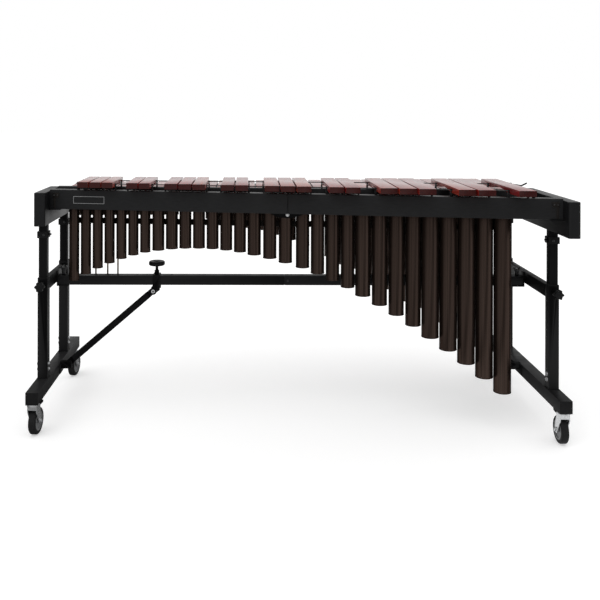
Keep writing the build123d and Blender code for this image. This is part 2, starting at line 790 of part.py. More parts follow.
def make_bars(bars, front_line, back_line, top, nodes, name):
    with BuildPart() as group:
        pieces = []
        for left, pitch in bars:
            x = left + pitch / 2
            share = (x - high_note_x) / (low_note_x - high_note_x)
            width = pitch - bar_gap
            outline = bar_outline(along(front_line, x), along(back_line, x), top, x - width / 2, max(share, 0))
            pieces.append(extrude(outline, amount=width, mode=Mode.PRIVATE))
        add(pieces)
        for line in nodes:
            height = top - cord_in_bar
            rod(
                (-cheek_inner, line(-cheek_inner), height),
                (cheek_inner, line(cheek_inner), height),
                cord_hole_radius,
                Mode.SUBTRACT,
            )
    save(group.part, name)


high_naturals = octaves[0][0] + octaves[1][0]
high_accidentals = sum(1 for left, _ in accidentals if left < naturals[high_naturals][0] - 1)
natural_nodes = (natural_inner, natural_outer)
accidental_nodes = (accidental_outer, accidental_inner)
make_bars(naturals[:high_naturals], natural_front, natural_back, natural_top, natural_nodes, "natural_bars_high")
make_bars(naturals[high_naturals:], natural_front, natural_back, natural_top, natural_nodes, "natural_bars_low")
make_bars(
    accidentals[:high_accidentals], accidental_front, accidental_back, accidental_top, accidental_nodes,
    "accidental_bars_high",
)
make_bars(
    accidentals[high_accidentals:], accidental_front, accidental_back, accidental_top, accidental_nodes,
    "accidental_bars_low",
)

# ---------------------------------------------------------------- cords and their posts


def post_places(bars):
    # Beside every bar, one place between two neighbours that are close together.
    places = []
    for left, pitch in bars:
        if not places or left - places[-1] > 1:
            places.append(left)
        places.append(left + pitch)
    return places


turn_radius = peg_radius + cord_radius + slide_gap
hook_radius = 3.0
hook_bend = (44.0, -7.0)         # the cord's hook runs level, then turns up at its tip
hook_tip = (66.0, 4.0)
rows = {
    "accidental": (accidentals, accidental_outer, accidental_inner, accidental_top, front_rail_top),
    "natural": (naturals, natural_inner, natural_outer, natural_top, natural_rail_top),
}
row_ends = {}
for name, (bars, front_node, back_node, top, rail_top) in rows.items():
    row_ends[name] = (bars[0][0] - peg_inset, bars[-1][0] + bars[-1][1] + peg_inset)

with BuildPart() as cord_posts:
    for name, (bars, front_node, back_node, top, rail_top) in rows.items():
        cord_z = top - cord_in_bar
        slot_bottom = cord_z - cord_radius - touch_gap
        first, last = row_ends[name]
        for line in (front_node, back_node):
            places = [(x, line(x)) for x in post_places(bars)]
            with BuildSketch(Plane.XY.offset(rail_top)) as blades:
                with Locations(*places):
                    Rectangle(post_thick, post_width)
            extrude(blades.sketch, amount=cord_z + post_above_cord - rail_top)
            with BuildSketch(Plane.XY.offset(slot_bottom)) as slots:
                with Locations(*places):
                    Rectangle(post_thick + 1.0, post_slot)
            extrude(slots.sketch, amount=cord_radius + post_above_cord + 1.0, mode=Mode.SUBTRACT)
        for line, side in ((front_node, 1), (back_node, -1)):
            peg_x = first + turn_radius
            peg_y = line(peg_x) + side * (turn_radius + slide_gap)
            rod((peg_x, peg_y, rail_top), (peg_x, peg_y, cord_z + 6.0), peg_radius)
            end_peg = last + peg_radius + touch_gap
            rod((end_peg, line(end_peg), rail_top), (end_peg, line(end_peg), cord_z + 5.0), peg_radius)
            if name == "accidental" and side < 0:
                spots = [(end_peg, cord_z)] + [(end_peg + reach, cord_z + rise) for reach, rise in (hook_bend, hook_tip)]
                spots = [(spot_x, line(spot_x), spot_z) for spot_x, spot_z in spots]
                rod(spots[0], spots[1], hook_radius)
                rod(spots[1], spots[2], hook_radius)
                with Locations(spots[1]):
                    Sphere(hook_radius)
save(cord_posts.part, "cord_posts")

for name, (bars, front_node, back_node, top, rail_top) in rows.items():
    cord_z = top - cord_in_bar
    first, last = row_ends[name]
    route = [
        (last, front_node(last), cord_z), (first, front_node(first), cord_z),
        (first, back_node(first), cord_z), (last, back_node(last), cord_z),
    ]
    with BuildPart() as cord:
        with BuildLine() as path:
            FilletPolyline(*route, radius=turn_radius)
        with BuildSketch(Plane(origin=path.line @ 0, z_dir=path.line % 0)):
            Circle(cord_radius)
        sweep(path=path.line)
    save(cord.part, f"{name}_cord")

# ---------------------------------------------------------------- resonators


def tube_radius(number):
    for last, diameter in tube_sizes:
        if number <= last:
            return diameter / 2


def sounding_length(half_tones, radius):
    # A quarter of the wave, less the air that moves outside the tube's mouth.
    frequency = top_frequency / 2 ** (half_tones / 12)
    return sound_speed / (4 * frequency) - 0.6 * radius


def front_strap(x):
    high = (accidental_front[0] + accidental_back[0]) / 2 + tube_radius(1)
    low = (accidental_front[1] + accidental_back[1]) / 2 + tube_radius(30)
    return along((high, low), x)


def back_strap(x):
    high = (natural_front[0] + natural_back[0]) / 2 + tube_radius(1)
    low = (natural_front[1] + natural_back[1]) / 2 + tube_radius(31)
    return along((high, low), x)


def beside(line, radius):
    # Distance along Y from a sloping strap to the centre of a tube that just clears it.
    slope = line(1.0) - line(0.0)
    return (radius + touch_gap) * math.hypot(1.0, slope)


def bank_shift(number):
    # The shifts change evenly from one given tube to the next.
    for (first, low), (last, high) in zip(bank_shifts, bank_shifts[1:]):
        if number <= last:
            return low + (high - low) * (number - first) / (last - first)


# Each tube: place, radius, lower end, and the place of the stop inside it.
front_tubes = []
for number, (left, _) in enumerate(boundaries, start=1):
    radius = tube_radius(number)
    x = left + bank_shift(number)
    bottom = arch_top - arch_fall * abs(number - arch_tube) ** arch_power
    natural_steps = 12 * (number // 7) + scale_steps[number % 7]
    stop = None
    if number % 7 not in (1, 5):
        stop = max(front_tube_top - sounding_length(natural_steps - 1, radius), bottom + 2.0)
    front_tubes.append((x, front_strap(x) - beside(front_strap, radius), radius, bottom, stop))
back_tubes = []
for number, (left, pitch) in enumerate(naturals, start=1):
    radius = tube_radius(number)
    x = left + pitch / 2
    half_tones = 12 * ((number - 1) // 7) + scale_steps[(number - 1) % 7]
    stop = back_tube_top - sounding_length(half_tones, radius)
    bottom = min(stop - 2.0, back_strap_bottom - 8.0)
    back_tubes.append((x, back_strap(x) - beside(back_strap, radius), radius, bottom, stop))


def make_tubes(tubes, top, name):
    with BuildPart() as bank:
        pieces = []
        for x, y, radius, bottom, _ in tubes:
            with BuildSketch(Plane.XY.offset(bottom)) as ring:
                with Locations((x, y)):
                    Circle(radius)
                    Circle(radius - tube_wall, mode=Mode.SUBTRACT)
            pieces.append(extrude(ring.sketch, amount=top - bottom, mode=Mode.PRIVATE))
        add(pieces)
    save(bank.part, name)


high_tubes = 14
make_tubes(front_tubes[:high_tubes], front_tube_top, "front_tubes_high")
make_tubes(front_tubes[high_tubes:], front_tube_top, "front_tubes_low")
make_tubes(back_tubes[:high_tubes], back_tube_top, "back_tubes_high")
make_tubes(back_tubes[high_tubes:], back_tube_top, "back_tubes_low")

with BuildPart() as tube_stops:
    pieces = []
    for x, y, radius, _, stop in front_tubes + back_tubes:
        if stop is not None:
            with BuildSketch(Plane.XY.offset(stop)) as disc:
                with Locations((x, y)):
                    Circle(radius - tube_wall - fit_gap)
            pieces.append(extrude(disc.sketch, amount=stop_thick, mode=Mode.PRIVATE))
    add(pieces)
save(tube_stops.part, "tube_stops")

straps = {
    "front_straps": (front_tubes, front_strap, strap_bottom, accidental_inner, front_rail_top),
    "back_straps": (back_tubes, back_strap, back_strap_bottom, natural_outer, natural_rail_top),
}
with BuildPart() as resonator_hangers:
    for tubes, line, bottom, rail_line, rail_top in straps.values():
        high_end = tubes[0][0] - tubes[0][2]
        low_end = tubes[-1][0] + tubes[-1][2]
        rail_bottom = rail_top - inner_rail_height
        for x in (high_end + hanger_inset, joint_x - hanger_inset, joint_x + hanger_inset, low_end - hanger_inset):
            width = (x - hanger_width / 2, x + hanger_width / 2)
            front = line(x + hanger_width / 2 if line(x) > line(x - 1) else x - hanger_width / 2)
            front += strap_thick + touch_gap
            block(width, (front, front + strap_thick), (bottom, rail_bottom))
            block(width, (front, rail_line(x) + inner_rail_thick / 2), (rail_bottom - strap_thick, rail_bottom))
save(resonator_hangers.part, "resonator_hangers")

with BuildPart() as resonator_straps:
    for tubes, line, bottom, _, _ in straps.values():
        high_end = tubes[0][0] - tubes[0][2]
        low_end = tubes[-1][0] + tubes[-1][2]
        for x_from, x_to in ((high_end, joint_x - seam / 2), (joint_x + seam / 2, low_end)):
            plan_bar(x_from, x_to, line, 0.0, strap_thick, bottom, strap_height)
save(resonator_straps.part, "resonator_straps")

with BuildPart() as stay_rods:
    for x in stay_rods_at:
        y = natural_inner(x)
        rod((x, y, stay_rod_bottom), (x, y, natural_rail_top - inner_rail_height), stay_rod_radius)
save(stay_rods.part, "stay_rods")
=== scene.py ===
import json
import math
import random

import bmesh
import bpy
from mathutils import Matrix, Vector
from mathutils.bvhtree import BVHTree


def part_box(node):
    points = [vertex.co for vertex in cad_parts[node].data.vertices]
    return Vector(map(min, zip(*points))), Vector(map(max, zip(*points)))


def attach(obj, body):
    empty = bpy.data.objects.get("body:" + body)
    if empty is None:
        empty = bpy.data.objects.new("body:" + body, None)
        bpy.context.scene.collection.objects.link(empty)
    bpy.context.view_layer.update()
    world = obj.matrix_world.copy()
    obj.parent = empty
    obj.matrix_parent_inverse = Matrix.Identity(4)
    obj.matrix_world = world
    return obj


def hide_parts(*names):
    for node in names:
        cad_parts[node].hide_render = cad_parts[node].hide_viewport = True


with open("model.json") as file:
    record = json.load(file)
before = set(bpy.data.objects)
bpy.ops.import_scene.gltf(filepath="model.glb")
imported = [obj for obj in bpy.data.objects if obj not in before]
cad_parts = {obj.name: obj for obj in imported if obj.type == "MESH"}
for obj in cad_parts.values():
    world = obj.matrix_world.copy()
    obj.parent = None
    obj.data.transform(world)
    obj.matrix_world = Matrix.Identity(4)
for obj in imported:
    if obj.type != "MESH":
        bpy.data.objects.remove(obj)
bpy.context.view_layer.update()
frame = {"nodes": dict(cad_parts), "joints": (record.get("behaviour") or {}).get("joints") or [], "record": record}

# A concert marimba on its wheeled stand. Metres, +Z up, bass end at +X, audience at -Y.

record = frame["record"]
bodyOfNode = {node: body for body, held in record["behaviour"]["bodies"].items() for node in held}
slotOfNode = {part["node"]: part["material_slot"] for part in record["subparts"]}
print("frame loaded:", len(frame["nodes"]), "nodes")


# ---- tools for node materials
def newMaterial(name, colour, roughness, **extra):
    made = bpy.data.materials.new(name)
    made.use_nodes = True
    made.diffuse_color = (*colour, 1)
    shader = made.node_tree.nodes["Principled BSDF"]
    shader.inputs["Base Color"].default_value = (*colour, 1)
    shader.inputs["Roughness"].default_value = roughness
    for socket, value in extra.items():
        shader.inputs[socket.replace("_", " ")].default_value = value
    return made


def addNode(made, kind, **settings):
    node = made.node_tree.nodes.new(kind)
    for key, value in settings.items():
        setattr(node, key, value)
    return node


def wire(made, start, end):
    made.node_tree.links.new(start, end)


def toShader(made, start, socket):
    wire(made, start, made.node_tree.nodes["Principled BSDF"].inputs[socket])


def spread(made, scale, turn=(0, 0, 0)):
    # Object coordinates with their own scale along each axis.
    place = addNode(made, "ShaderNodeTexCoord")
    mapping = addNode(made, "ShaderNodeMapping")
    mapping.inputs["Scale"].default_value = scale
    mapping.inputs["Rotation"].default_value = turn
    wire(made, place.outputs["Object"], mapping.inputs["Vector"])
    return mapping.outputs["Vector"]


def grainNoise(made, scale, detail=4.0, rough=0.6, twist=0.0):
    tex = addNode(made, "ShaderNodeTexNoise")
    tex.inputs["Scale"].default_value = 1.0
    tex.inputs["Detail"].default_value = detail
    tex.inputs["Roughness"].default_value = rough
    tex.inputs["Distortion"].default_value = twist
    wire(made, spread(made, scale), tex.inputs["Vector"])
    return tex.outputs["Fac"]


def tint(made, source, stops):
    ramp = addNode(made, "ShaderNodeValToRGB")
    marks = ramp.color_ramp.elements
    while len(marks) < len(stops):
        marks.new(0.5)
    for mark, (place, colour) in zip(marks, stops):
        mark.position = place
        mark.color = (*colour, 1)
    wire(made, source, ramp.inputs["Fac"])
    return ramp.outputs["Color"]


def between(made, source, low, high, fromLow=0.3, fromHigh=0.7):
    ranged = addNode(made, "ShaderNodeMapRange")
    ranged.inputs["From Min"].default_value = fromLow
    ranged.inputs["From Max"].default_value = fromHigh
    ranged.inputs["To Min"].default_value = low
    ranged.inputs["To Max"].default_value = high
    wire(made, source, ranged.inputs["Value"])
    return ranged.outputs["Result"]


def blendColour(made, factor, first, second, kind="MIX"):
    mix = addNode(made, "ShaderNodeMix", data_type="RGBA", blend_type=kind)
    # The colour sockets of this node share their names with number sockets.
    colourIn = [socket for socket in mix.inputs if socket.type == "RGBA"]
    factorIn = [socket for socket in mix.inputs if socket.type == "VALUE"][0]
    for socket, value in ((factorIn, factor), (colourIn[0], first), (colourIn[1], second)):
        if isinstance(value, bpy.types.NodeSocket):
            wire(made, value, socket)
        elif isinstance(value, float):
            socket.default_value = value
        else:
            socket.default_value = (*value, 1)
    return [socket for socket in mix.outputs if socket.type == "RGBA"][0]


def relief(made, heights):
    # Each height is a source and how deep it goes, in metres.
    normal = None
    for source, depth in heights:
        bump = addNode(made, "ShaderNodeBump")
        bump.inputs["Strength"].default_value = 1.0
        bump.inputs["Distance"].default_value = depth
        wire(made, source, bump.inputs["Height"])
        if normal:
            wire(made, normal, bump.inputs["Normal"])
        normal = bump.outputs["Normal"]
    toShader(made, normal, "Normal")


def edgeWear(made, colour, worn, low=0.515, high=0.56, amount=0.8):
    # Raised edges are rubbed to a second colour.
    shape = addNode(made, "ShaderNodeNewGeometry")
    rubbed = between(made, shape.outputs["Pointiness"], 0.0, amount, low, high)
    return blendColour(made, rubbed, colour, worn)


# ---- materials
woodLook = {
    "lacquerDark": (0.0062, 0.0064, 0.0069), "lacquerLight": (0.0115, 0.0118, 0.0126),
    "lacquerWorn": (0.040, 0.040, 0.041),
    "barDark": (0.120, 0.0085, 0.0062), "barMiddle": (0.250, 0.0220, 0.0140), "barLight": (0.360, 0.0520, 0.0310),
    # The end colours stand for the bars' end grain together with painted shade on their end faces.
    "barPore": (0.050, 0.005, 0.0040), "endGrainAndShadeDark": (0.012, 0.0014, 0.0012), "endGrainAndShadeLight": (0.046, 0.0044, 0.0034),
}


def lacquer(name, grainScale):
    made = newMaterial(name, woodLook["lacquerDark"], 0.42, IOR=1.24)
    grain = grainNoise(made, grainScale, 6.0, 0.65)
    cloud = grainNoise(made, (5, 5, 5), 2.0, 0.5)
    colour = tint(made, grain, [(0.35, woodLook["lacquerDark"]), (0.68, woodLook["lacquerLight"])])
    toShader(made, edgeWear(made, colour, woodLook["lacquerWorn"], 0.53, 0.60, 0.5), "Base Color")
    toShader(made, between(made, cloud, 0.36, 0.50), "Roughness")
    relief(made, [(grain, 0.00012), (grainNoise(made, (900, 900, 900), 2.0), 0.00002)])
    return made


def hardwood(name):
    made = newMaterial(name, woodLook["barMiddle"], 0.33, IOR=1.18, Coat_Weight=0.86, Coat_Roughness=0.17, Coat_IOR=1.25)
    tone = addNode(made, "ShaderNodeAttribute", attribute_name="barTone", attribute_type="GEOMETRY")
    # Long figure along the bar, fine pores in short dashes, and a slow cloud across it.
    figure = grainNoise(made, (95, 5.5, 95), 5.0, 0.62, 0.6)
    pores = grainNoise(made, (1100, 42, 1100), 3.0, 0.7)
    cloud = grainNoise(made, (14, 2.2, 14), 3.0, 0.5)
    colour = tint(made, figure, [
        (0.28, woodLook["barDark"]), (0.50, woodLook["barMiddle"]), (0.74, woodLook["barLight"])])
    shade = addNode(made, "ShaderNodeHueSaturation")
    wire(made, between(made, tone.outputs["Fac"], 0.490, 0.508, 0.0, 1.0), shade.inputs["Hue"])
    wire(made, between(made, tone.outputs["Fac"], 0.80, 1.22, 0.0, 1.0), shade.inputs["Value"])
    wire(made, colour, shade.inputs["Color"])
    clouded = blendColour(made, between(made, cloud, 0.0, 0.45), shade.outputs["Color"], woodLook["barDark"])
    pored = blendColour(made, between(made, pores, 0.0, 0.75, 0.60, 0.74), clouded, woodLook["barPore"])
    # The end faces, where the grain runs out, are darker: partly the end grain's own colour, partly painted shade on
    # the bar ends.
    shape = addNode(made, "ShaderNodeNewGeometry")
    facing = addNode(made, "ShaderNodeSeparateXYZ")
    wire(made, shape.outputs["Normal"], facing.inputs["Vector"])
    lengthwise = addNode(made, "ShaderNodeMath", operation="ABSOLUTE")
    wire(made, facing.outputs["Y"], lengthwise.inputs[0])
    endGrainAndShadeShare = between(made, lengthwise.outputs[0], 0.0, 0.95, 0.70, 0.98)
    rings = grainNoise(made, (260, 6, 700), 3.0, 0.6)
    endGrainAndShadeColour = tint(made, rings, [(0.35, woodLook["endGrainAndShadeDark"]), (0.65, woodLook["endGrainAndShadeLight"])])
    toShader(made, blendColour(made, endGrainAndShadeShare, pored, endGrainAndShadeColour), "Base Color")
    toShader(made, between(made, figure, 0.28, 0.42), "Roughness")
    relief(made, [(figure, 0.00006), (pores, -0.00005)])
    return made


blackWoodLong = lacquer("lacquerAlongRails", (9, 260, 260))
blackWoodCross = lacquer("lacquerAlongCheeks", (260, 9, 260))
barWood = hardwood("redHardwood")

tubeLook = {"dark": (0.0170, 0.0105, 0.0082), "light": (0.0690, 0.0480, 0.0400), "worn": (0.14, 0.105, 0.088)}
tubeMetal = newMaterial(
    "bronzeAnodised", tubeLook["light"], 0.30, Metallic=0.75, IOR=1.2, Specular_Tint=(0.22, 0.18, 0.16, 1))
drawLines = grainNoise(tubeMetal, (420, 420, 1.4), 4.0, 0.7)
# Broad vertical streaks darken the tubes here and there: a painted reflection, standing in for the banded reflections
# of the studio's panels.
paintedReflectionBands = grainNoise(tubeMetal, (75, 75, 0.5), 2.0, 0.5)
tubeColour = tint(tubeMetal, drawLines, [(0.30, tubeLook["dark"]), (0.72, tubeLook["light"])])
tubeColour = blendColour(tubeMetal, between(tubeMetal, paintedReflectionBands, 0.0, 0.55), tubeColour, tubeLook["dark"])
toShader(tubeMetal, edgeWear(tubeMetal, tubeColour, tubeLook["worn"], 0.54, 0.62, 0.7), "Base Color")
toShader(tubeMetal, between(tubeMetal, drawLines, 0.20, 0.32), "Roughness")
relief(tubeMetal, [(drawLines, 0.00005)])

steelLook = {
    "paintDark": (0.0022, 0.0022, 0.0024), "paintLight": (0.0050, 0.0050, 0.0054), "paintWorn": (0.035, 0.035, 0.036)}
blackPaint = newMaterial("blackPowderCoat", steelLook["paintDark"], 0.4, IOR=1.11)
peel = grainNoise(blackPaint, (620, 620, 620), 2.0, 0.5)
dust = grainNoise(blackPaint, (16, 16, 5), 4.0, 0.6)
paintColour = tint(blackPaint, dust, [(0.35, steelLook["paintDark"]), (0.70, steelLook["paintLight"])])
toShader(blackPaint, edgeWear(blackPaint, paintColour, steelLook["paintWorn"], 0.53, 0.60, 0.5), "Base Color")
toShader(blackPaint, between(blackPaint, dust, 0.34, 0.50), "Roughness")
relief(blackPaint, [(peel, 0.00005)])

zincLook = {"dark": (0.34, 0.345, 0.355), "light": (0.66, 0.67, 0.68), "stain": (0.20, 0.19, 0.17)}
zinc = newMaterial("zincPlate", zincLook["light"], 0.27, Metallic=1.0)
spangle = grainNoise(zinc, (260, 260, 260), 3.0, 0.6, 1.2)
zincStain = grainNoise(zinc, (42, 42, 42), 4.0, 0.6)
zincColour = tint(zinc, spangle, [(0.30, zincLook["dark"]), (0.66, zincLook["light"])])
zincStained = between(zinc, zincStain, 0.0, 0.5, 0.52, 0.75)
toShader(zinc, blendColour(zinc, zincStained, zincColour, zincLook["stain"]), "Base Color")
toShader(zinc, between(zinc, spangle, 0.20, 0.36), "Roughness")
relief(zinc, [(spangle, 0.00002)])

darkSteel = newMaterial("blackenedSteel", (0.045, 0.045, 0.047), 0.34, Metallic=1.0)
oxide = grainNoise(darkSteel, (190, 190, 190), 4.0, 0.6)
toShader(darkSteel, tint(darkSteel, oxide, [(0.3, (0.018, 0.018, 0.019)), (0.75, (0.085, 0.085, 0.088))]), "Base Color")
toShader(darkSteel, between(darkSteel, oxide, 0.26, 0.46), "Roughness")
relief(darkSteel, [(oxide, 0.00003)])

strapMetal = newMaterial("strapMetal", (0.02, 0.018, 0.017), 0.42, Metallic=0.5, IOR=1.2)
rolled = grainNoise(strapMetal, (4, 300, 700), 3.0, 0.6)
strapColour = tint(strapMetal, rolled, [(0.3, (0.0075, 0.0065, 0.0060)), (0.7, (0.026, 0.023, 0.021))])
toShader(strapMetal, strapColour, "Base Color")
toShader(strapMetal, between(strapMetal, rolled, 0.34, 0.52), "Roughness")
relief(strapMetal, [(rolled, 0.00003)])

plasticLook = {
    "middle": (0.0055, 0.0055, 0.0058), "dark": (0.0040, 0.0040, 0.0043), "light": (0.0085, 0.0085, 0.0090)}
blackPlastic = newMaterial("blackNylon", plasticLook["middle"], 0.46, IOR=1.22)
moulded = grainNoise(blackPlastic, (850, 850, 850), 2.0, 0.6)
plasticCloud = grainNoise(blackPlastic, (38, 38, 38), 3.0, 0.5)
plasticColour = tint(blackPlastic, plasticCloud, [(0.3, plasticLook["dark"]), (0.7, plasticLook["light"])])
toShader(blackPlastic, plasticColour, "Base Color")
toShader(blackPlastic, between(blackPlastic, plasticCloud, 0.38, 0.56), "Roughness")
relief(blackPlastic, [(moulded, 0.00008)])

greyPlastic = newMaterial("greyNylon", (0.19, 0.195, 0.20), 0.48)
hubCloud = grainNoise(greyPlastic, (90, 90, 90), 4.0, 0.6)
hubColour = tint(greyPlastic, hubCloud, [(0.3, (0.135, 0.138, 0.142)), (0.7, (0.225, 0.23, 0.235))])
toShader(greyPlastic, hubColour, "Base Color")
toShader(greyPlastic, between(greyPlastic, hubCloud, 0.40, 0.60), "Roughness")
relief(greyPlastic, [(grainNoise(greyPlastic, (900, 900, 900), 2.0), 0.00006)])

tyreLook = {
    "middle": (0.012, 0.012, 0.0125), "dark": (0.0075, 0.0075, 0.0080), "light": (0.0150, 0.0150, 0.0155),
    "dusty": (0.040, 0.038, 0.035)}
tyreRubber = newMaterial("tyreRubber", tyreLook["middle"], 0.68, IOR=1.25)
scuffs = grainNoise(tyreRubber, (130, 130, 130), 5.0, 0.7)
tyreColour = tint(tyreRubber, scuffs, [(0.32, tyreLook["dark"]), (0.60, tyreLook["light"]), (0.80, tyreLook["dusty"])])
toShader(tyreRubber, tyreColour, "Base Color")
toShader(tyreRubber, between(tyreRubber, scuffs, 0.60, 0.82), "Roughness")
relief(tyreRubber, [(scuffs, 0.00012)])

braid = newMaterial("braidedCord", (0.022, 0.021, 0.021), 0.78, Sheen_Weight=0.25)
strands = []
for lean in (0.9, -0.9):
    weave = addNode(braid, "ShaderNodeTexWave", wave_type="BANDS", bands_direction="X", wave_profile="SIN")
    weave.inputs["Scale"].default_value = 130.0
    weave.inputs["Distortion"].default_value = 0.6
    wire(braid, spread(braid, (1, 1, 1), (0, lean, lean * 0.4)), weave.inputs["Vector"])
    strands.append(weave.outputs["Fac"])
crossed = blendColour(braid, 0.5, strands[0], strands[1], "MULTIPLY")
toShader(braid, tint(braid, crossed, [(0.15, (0.010, 0.010, 0.010)), (0.65, (0.040, 0.038, 0.037))]), "Base Color")
relief(braid, [(crossed, 0.0004)])

rodMetal = newMaterial("brassRod", (0.30, 0.235, 0.165), 0.36, Metallic=0.9)
rodLines = grainNoise(rodMetal, (800, 800, 3), 3.0, 0.6)
rodTarnish = grainNoise(rodMetal, (60, 60, 22), 4.0, 0.6)
rodColour = tint(rodMetal, rodLines, [(0.3, (0.22, 0.17, 0.12)), (0.7, (0.38, 0.30, 0.21))])
rodTarnished = between(rodMetal, rodTarnish, 0.0, 0.6, 0.5, 0.7)
toShader(rodMetal, blendColour(rodMetal, rodTarnished, rodColour, (0.13, 0.105, 0.08)), "Base Color")
toShader(rodMetal, between(rodMetal, rodTarnish, 0.28, 0.5), "Roughness")
relief(rodMetal, [(rodLines, 0.00003)])

lineMetal = newMaterial("fieldLine", (0.33, 0.335, 0.34), 0.4, Metallic=0.6)
lineScratch = grainNoise(lineMetal, (300, 300, 300), 4.0, 0.6)
toShader(lineMetal, tint(lineMetal, lineScratch, [(0.3, (0.24, 0.245, 0.25)), (0.7, (0.42, 0.425, 0.43))]), "Base Color")
toShader(lineMetal, between(lineMetal, lineScratch, 0.30, 0.48), "Roughness")

slotLook = {
    "black_wood": blackWoodLong, "bar_wood": barWood, "bronze_tube": tubeMetal, "strap_metal": strapMetal,
    "black_steel": blackPaint, "zinc_steel": zinc, "black_plastic": blackPlastic, "grey_plastic": greyPlastic,
    "tyre_rubber": tyreRubber, "cord_braid": braid, "brass_rod": rodMetal,
}
print("materials made")


# ---- tools for pieces
def dress(piece, made, body):
    piece.data.materials.clear()
    piece.data.materials.append(made)
    for face in piece.data.polygons:
        face.material_index = 0
    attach(piece, body)


def only(piece):
    bpy.ops.object.select_all(action="DESELECT")
    piece.select_set(True)
    bpy.context.view_layer.objects.active = piece


def smooth(piece, angle):
    only(piece)
    bpy.ops.object.shade_smooth_by_angle(angle=math.radians(angle))


def applyAll(piece):
    only(piece)
    for modifier in list(piece.modifiers):
        bpy.ops.object.modifier_apply(modifier=modifier.name)


# How near doubled corners lie, and the turns (in degrees) of a flat, a hard and a smooth-shaded edge.
meshLook = {"sameSpot": 0.000004, "flatTurn": 0.6, "hardTurn": 30.0, "shadeTurn": 38.0}


def softened(node, width, look=None, segments=2):
    # The node's own shape with its doubled corners merged and its hard edges eased.
    piece = bpy.data.objects.new(node + "Eased", frame["nodes"][node].data.copy())
    bpy.context.scene.collection.objects.link(piece)
    shape = bmesh.new()
    shape.from_mesh(piece.data)
    bmesh.ops.remove_doubles(shape, verts=shape.verts, dist=meshLook["sameSpot"])
    bmesh.ops.dissolve_limit(
        shape, angle_limit=math.radians(meshLook["flatTurn"]), use_dissolve_boundaries=False,
        verts=shape.verts, edges=shape.edges)
    for face in shape.faces:
        face.smooth = False
    for edge in shape.edges:
        edge.smooth = True
    shape.to_mesh(piece.data)
    shape.free()
    if width:
        ease = piece.modifiers.new("ease", "BEVEL")
        ease.width = width
        ease.segments = segments
        ease.limit_method = "ANGLE"
        ease.angle_limit = math.radians(meshLook["hardTurn"])
        ease.use_clamp_overlap = True
        applyAll(piece)
    smooth(piece, meshLook["shadeTurn"])
    slotName = slotOfNode[node]
    dress(piece, look or slotLook[slotName], bodyOfNode[node])
    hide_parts(node)
    return piece


def easeAll(table, looks=None):
    # Each entry is a node, how wide its edges are eased and in how many steps.
    for node, width, steps in table:
        softened(node, width, look=(looks or {}).get(node), segments=steps)


def solidsOf(node):
    # The box of each separate solid in a node, from the high end to the low end.
    shape = bmesh.new()
    shape.from_mesh(frame["nodes"][node].data)
    bmesh.ops.remove_doubles(shape, verts=shape.verts, dist=meshLook["sameSpot"])
    seen, boxes = set(), []
    for start in shape.verts:
        if start in seen:
            continue
        seen.add(start)
        waiting, found = [start], []
        while waiting:
            corner = waiting.pop()
            found.append(corner.co.copy())
            for edge in corner.link_edges:
                other = edge.other_vert(corner)
                if other not in seen:
                    seen.add(other)
                    waiting.append(other)
        low = Vector([min(point[axis] for point in found) for axis in range(3)])
        high = Vector([max(point[axis] for point in found) for axis in range(3)])
        boxes.append((low, high))
    shape.free()
    return sorted(boxes, key=lambda pair: pair[0].x)


def primitive(name, kind, **how):
    # A starting shape whose place is held in its mesh.
    bpy.ops.object.select_all(action="DESELECT")
    getattr(bpy.ops.mesh, "primitive_" + kind + "_add")(**how)
    piece = bpy.context.object
    piece.name = name
    piece.data.name = name
    bpy.ops.object.transform_apply(location=True, rotation=True, scale=True)
    return piece


def pickFaces(test):
    # In edit mode: selects the faces that pass the test.
    bpy.ops.mesh.select_mode(type="FACE")
    bpy.ops.mesh.select_all(action="DESELECT")
    shape = bmesh.from_edit_mesh(bpy.context.object.data)
    for face in shape.faces:
        face.select_set(test(face))
    shape.select_flush(True)
    bmesh.update_edit_mesh(bpy.context.object.data)


def pickEdges(test):
    bpy.ops.mesh.select_mode(type="EDGE")
    bpy.ops.mesh.select_all(action="DESELECT")
    shape = bmesh.from_edit_mesh(bpy.context.object.data)
    for edge in shape.edges:
        edge.select_set(test(edge))
    bmesh.update_edit_mesh(bpy.context.object.data)


def pushOut(move):
    bpy.ops.mesh.extrude_region_move(TRANSFORM_OT_translate={"value": move})


def copyTo(piece, places, name=None):
    # Copies of a piece modelled at the origin, each with its own mesh, joined into one.
    made = []
    for place in places:
        twin = piece.copy()
        twin.data = piece.data.copy()
        bpy.context.scene.collection.objects.link(twin)
        twin.location = place[:3]
        if len(place) > 3:
            twin.rotation_euler = place[3]
        made.append(twin)
    bpy.data.objects.remove(piece)
    bpy.ops.object.select_all(action="DESELECT")
    for twin in made:
        twin.select_set(True)
    bpy.context.view_layer.objects.active = made[0]
    if len(made) > 1:
        bpy.ops.object.join()
    bpy.ops.object.transform_apply(location=True, rotation=True, scale=True)
    joined = bpy.context.object
    if name:
        joined.name = name
    return joined


# ---- feet, legs and stand
standEases = [
    ("foot_high", 0.0022, 3), ("foot_low", 0.0022, 3), ("foot_caps", 0.0016, 3), ("lower_legs", 0.0020, 3),
    ("upper_legs", 0.0020, 3), ("leg_bushes", 0.0006, 2), ("leg_sockets", 0.0012, 2), ("end_bars", 0.0020, 3),
    ("crossbars", 0.0020, 3), ("crossbar_joiner", 0.0006, 2), ("crossbar_brackets", 0.0009, 2),
    ("crossbar_bolts", 0.0008, 2), ("foot_brackets", 0.0009, 2), ("brace_clamps", 0.0009, 2),
]
for end in ("high", "low"):
    standEases += [("brace_" + end, 0.0008, 2), ("brace_knob_" + end, 0.0008, 2), ("end_screw_" + end, 0.0008, 2)]
standEases += [("leg_knob_%d" % number, 0.0010, 2) for number in range(1, 5)]
easeAll(standEases, {node: darkSteel for node in ("crossbar_bolts", "end_screw_high", "end_screw_low")})
print("stand made")

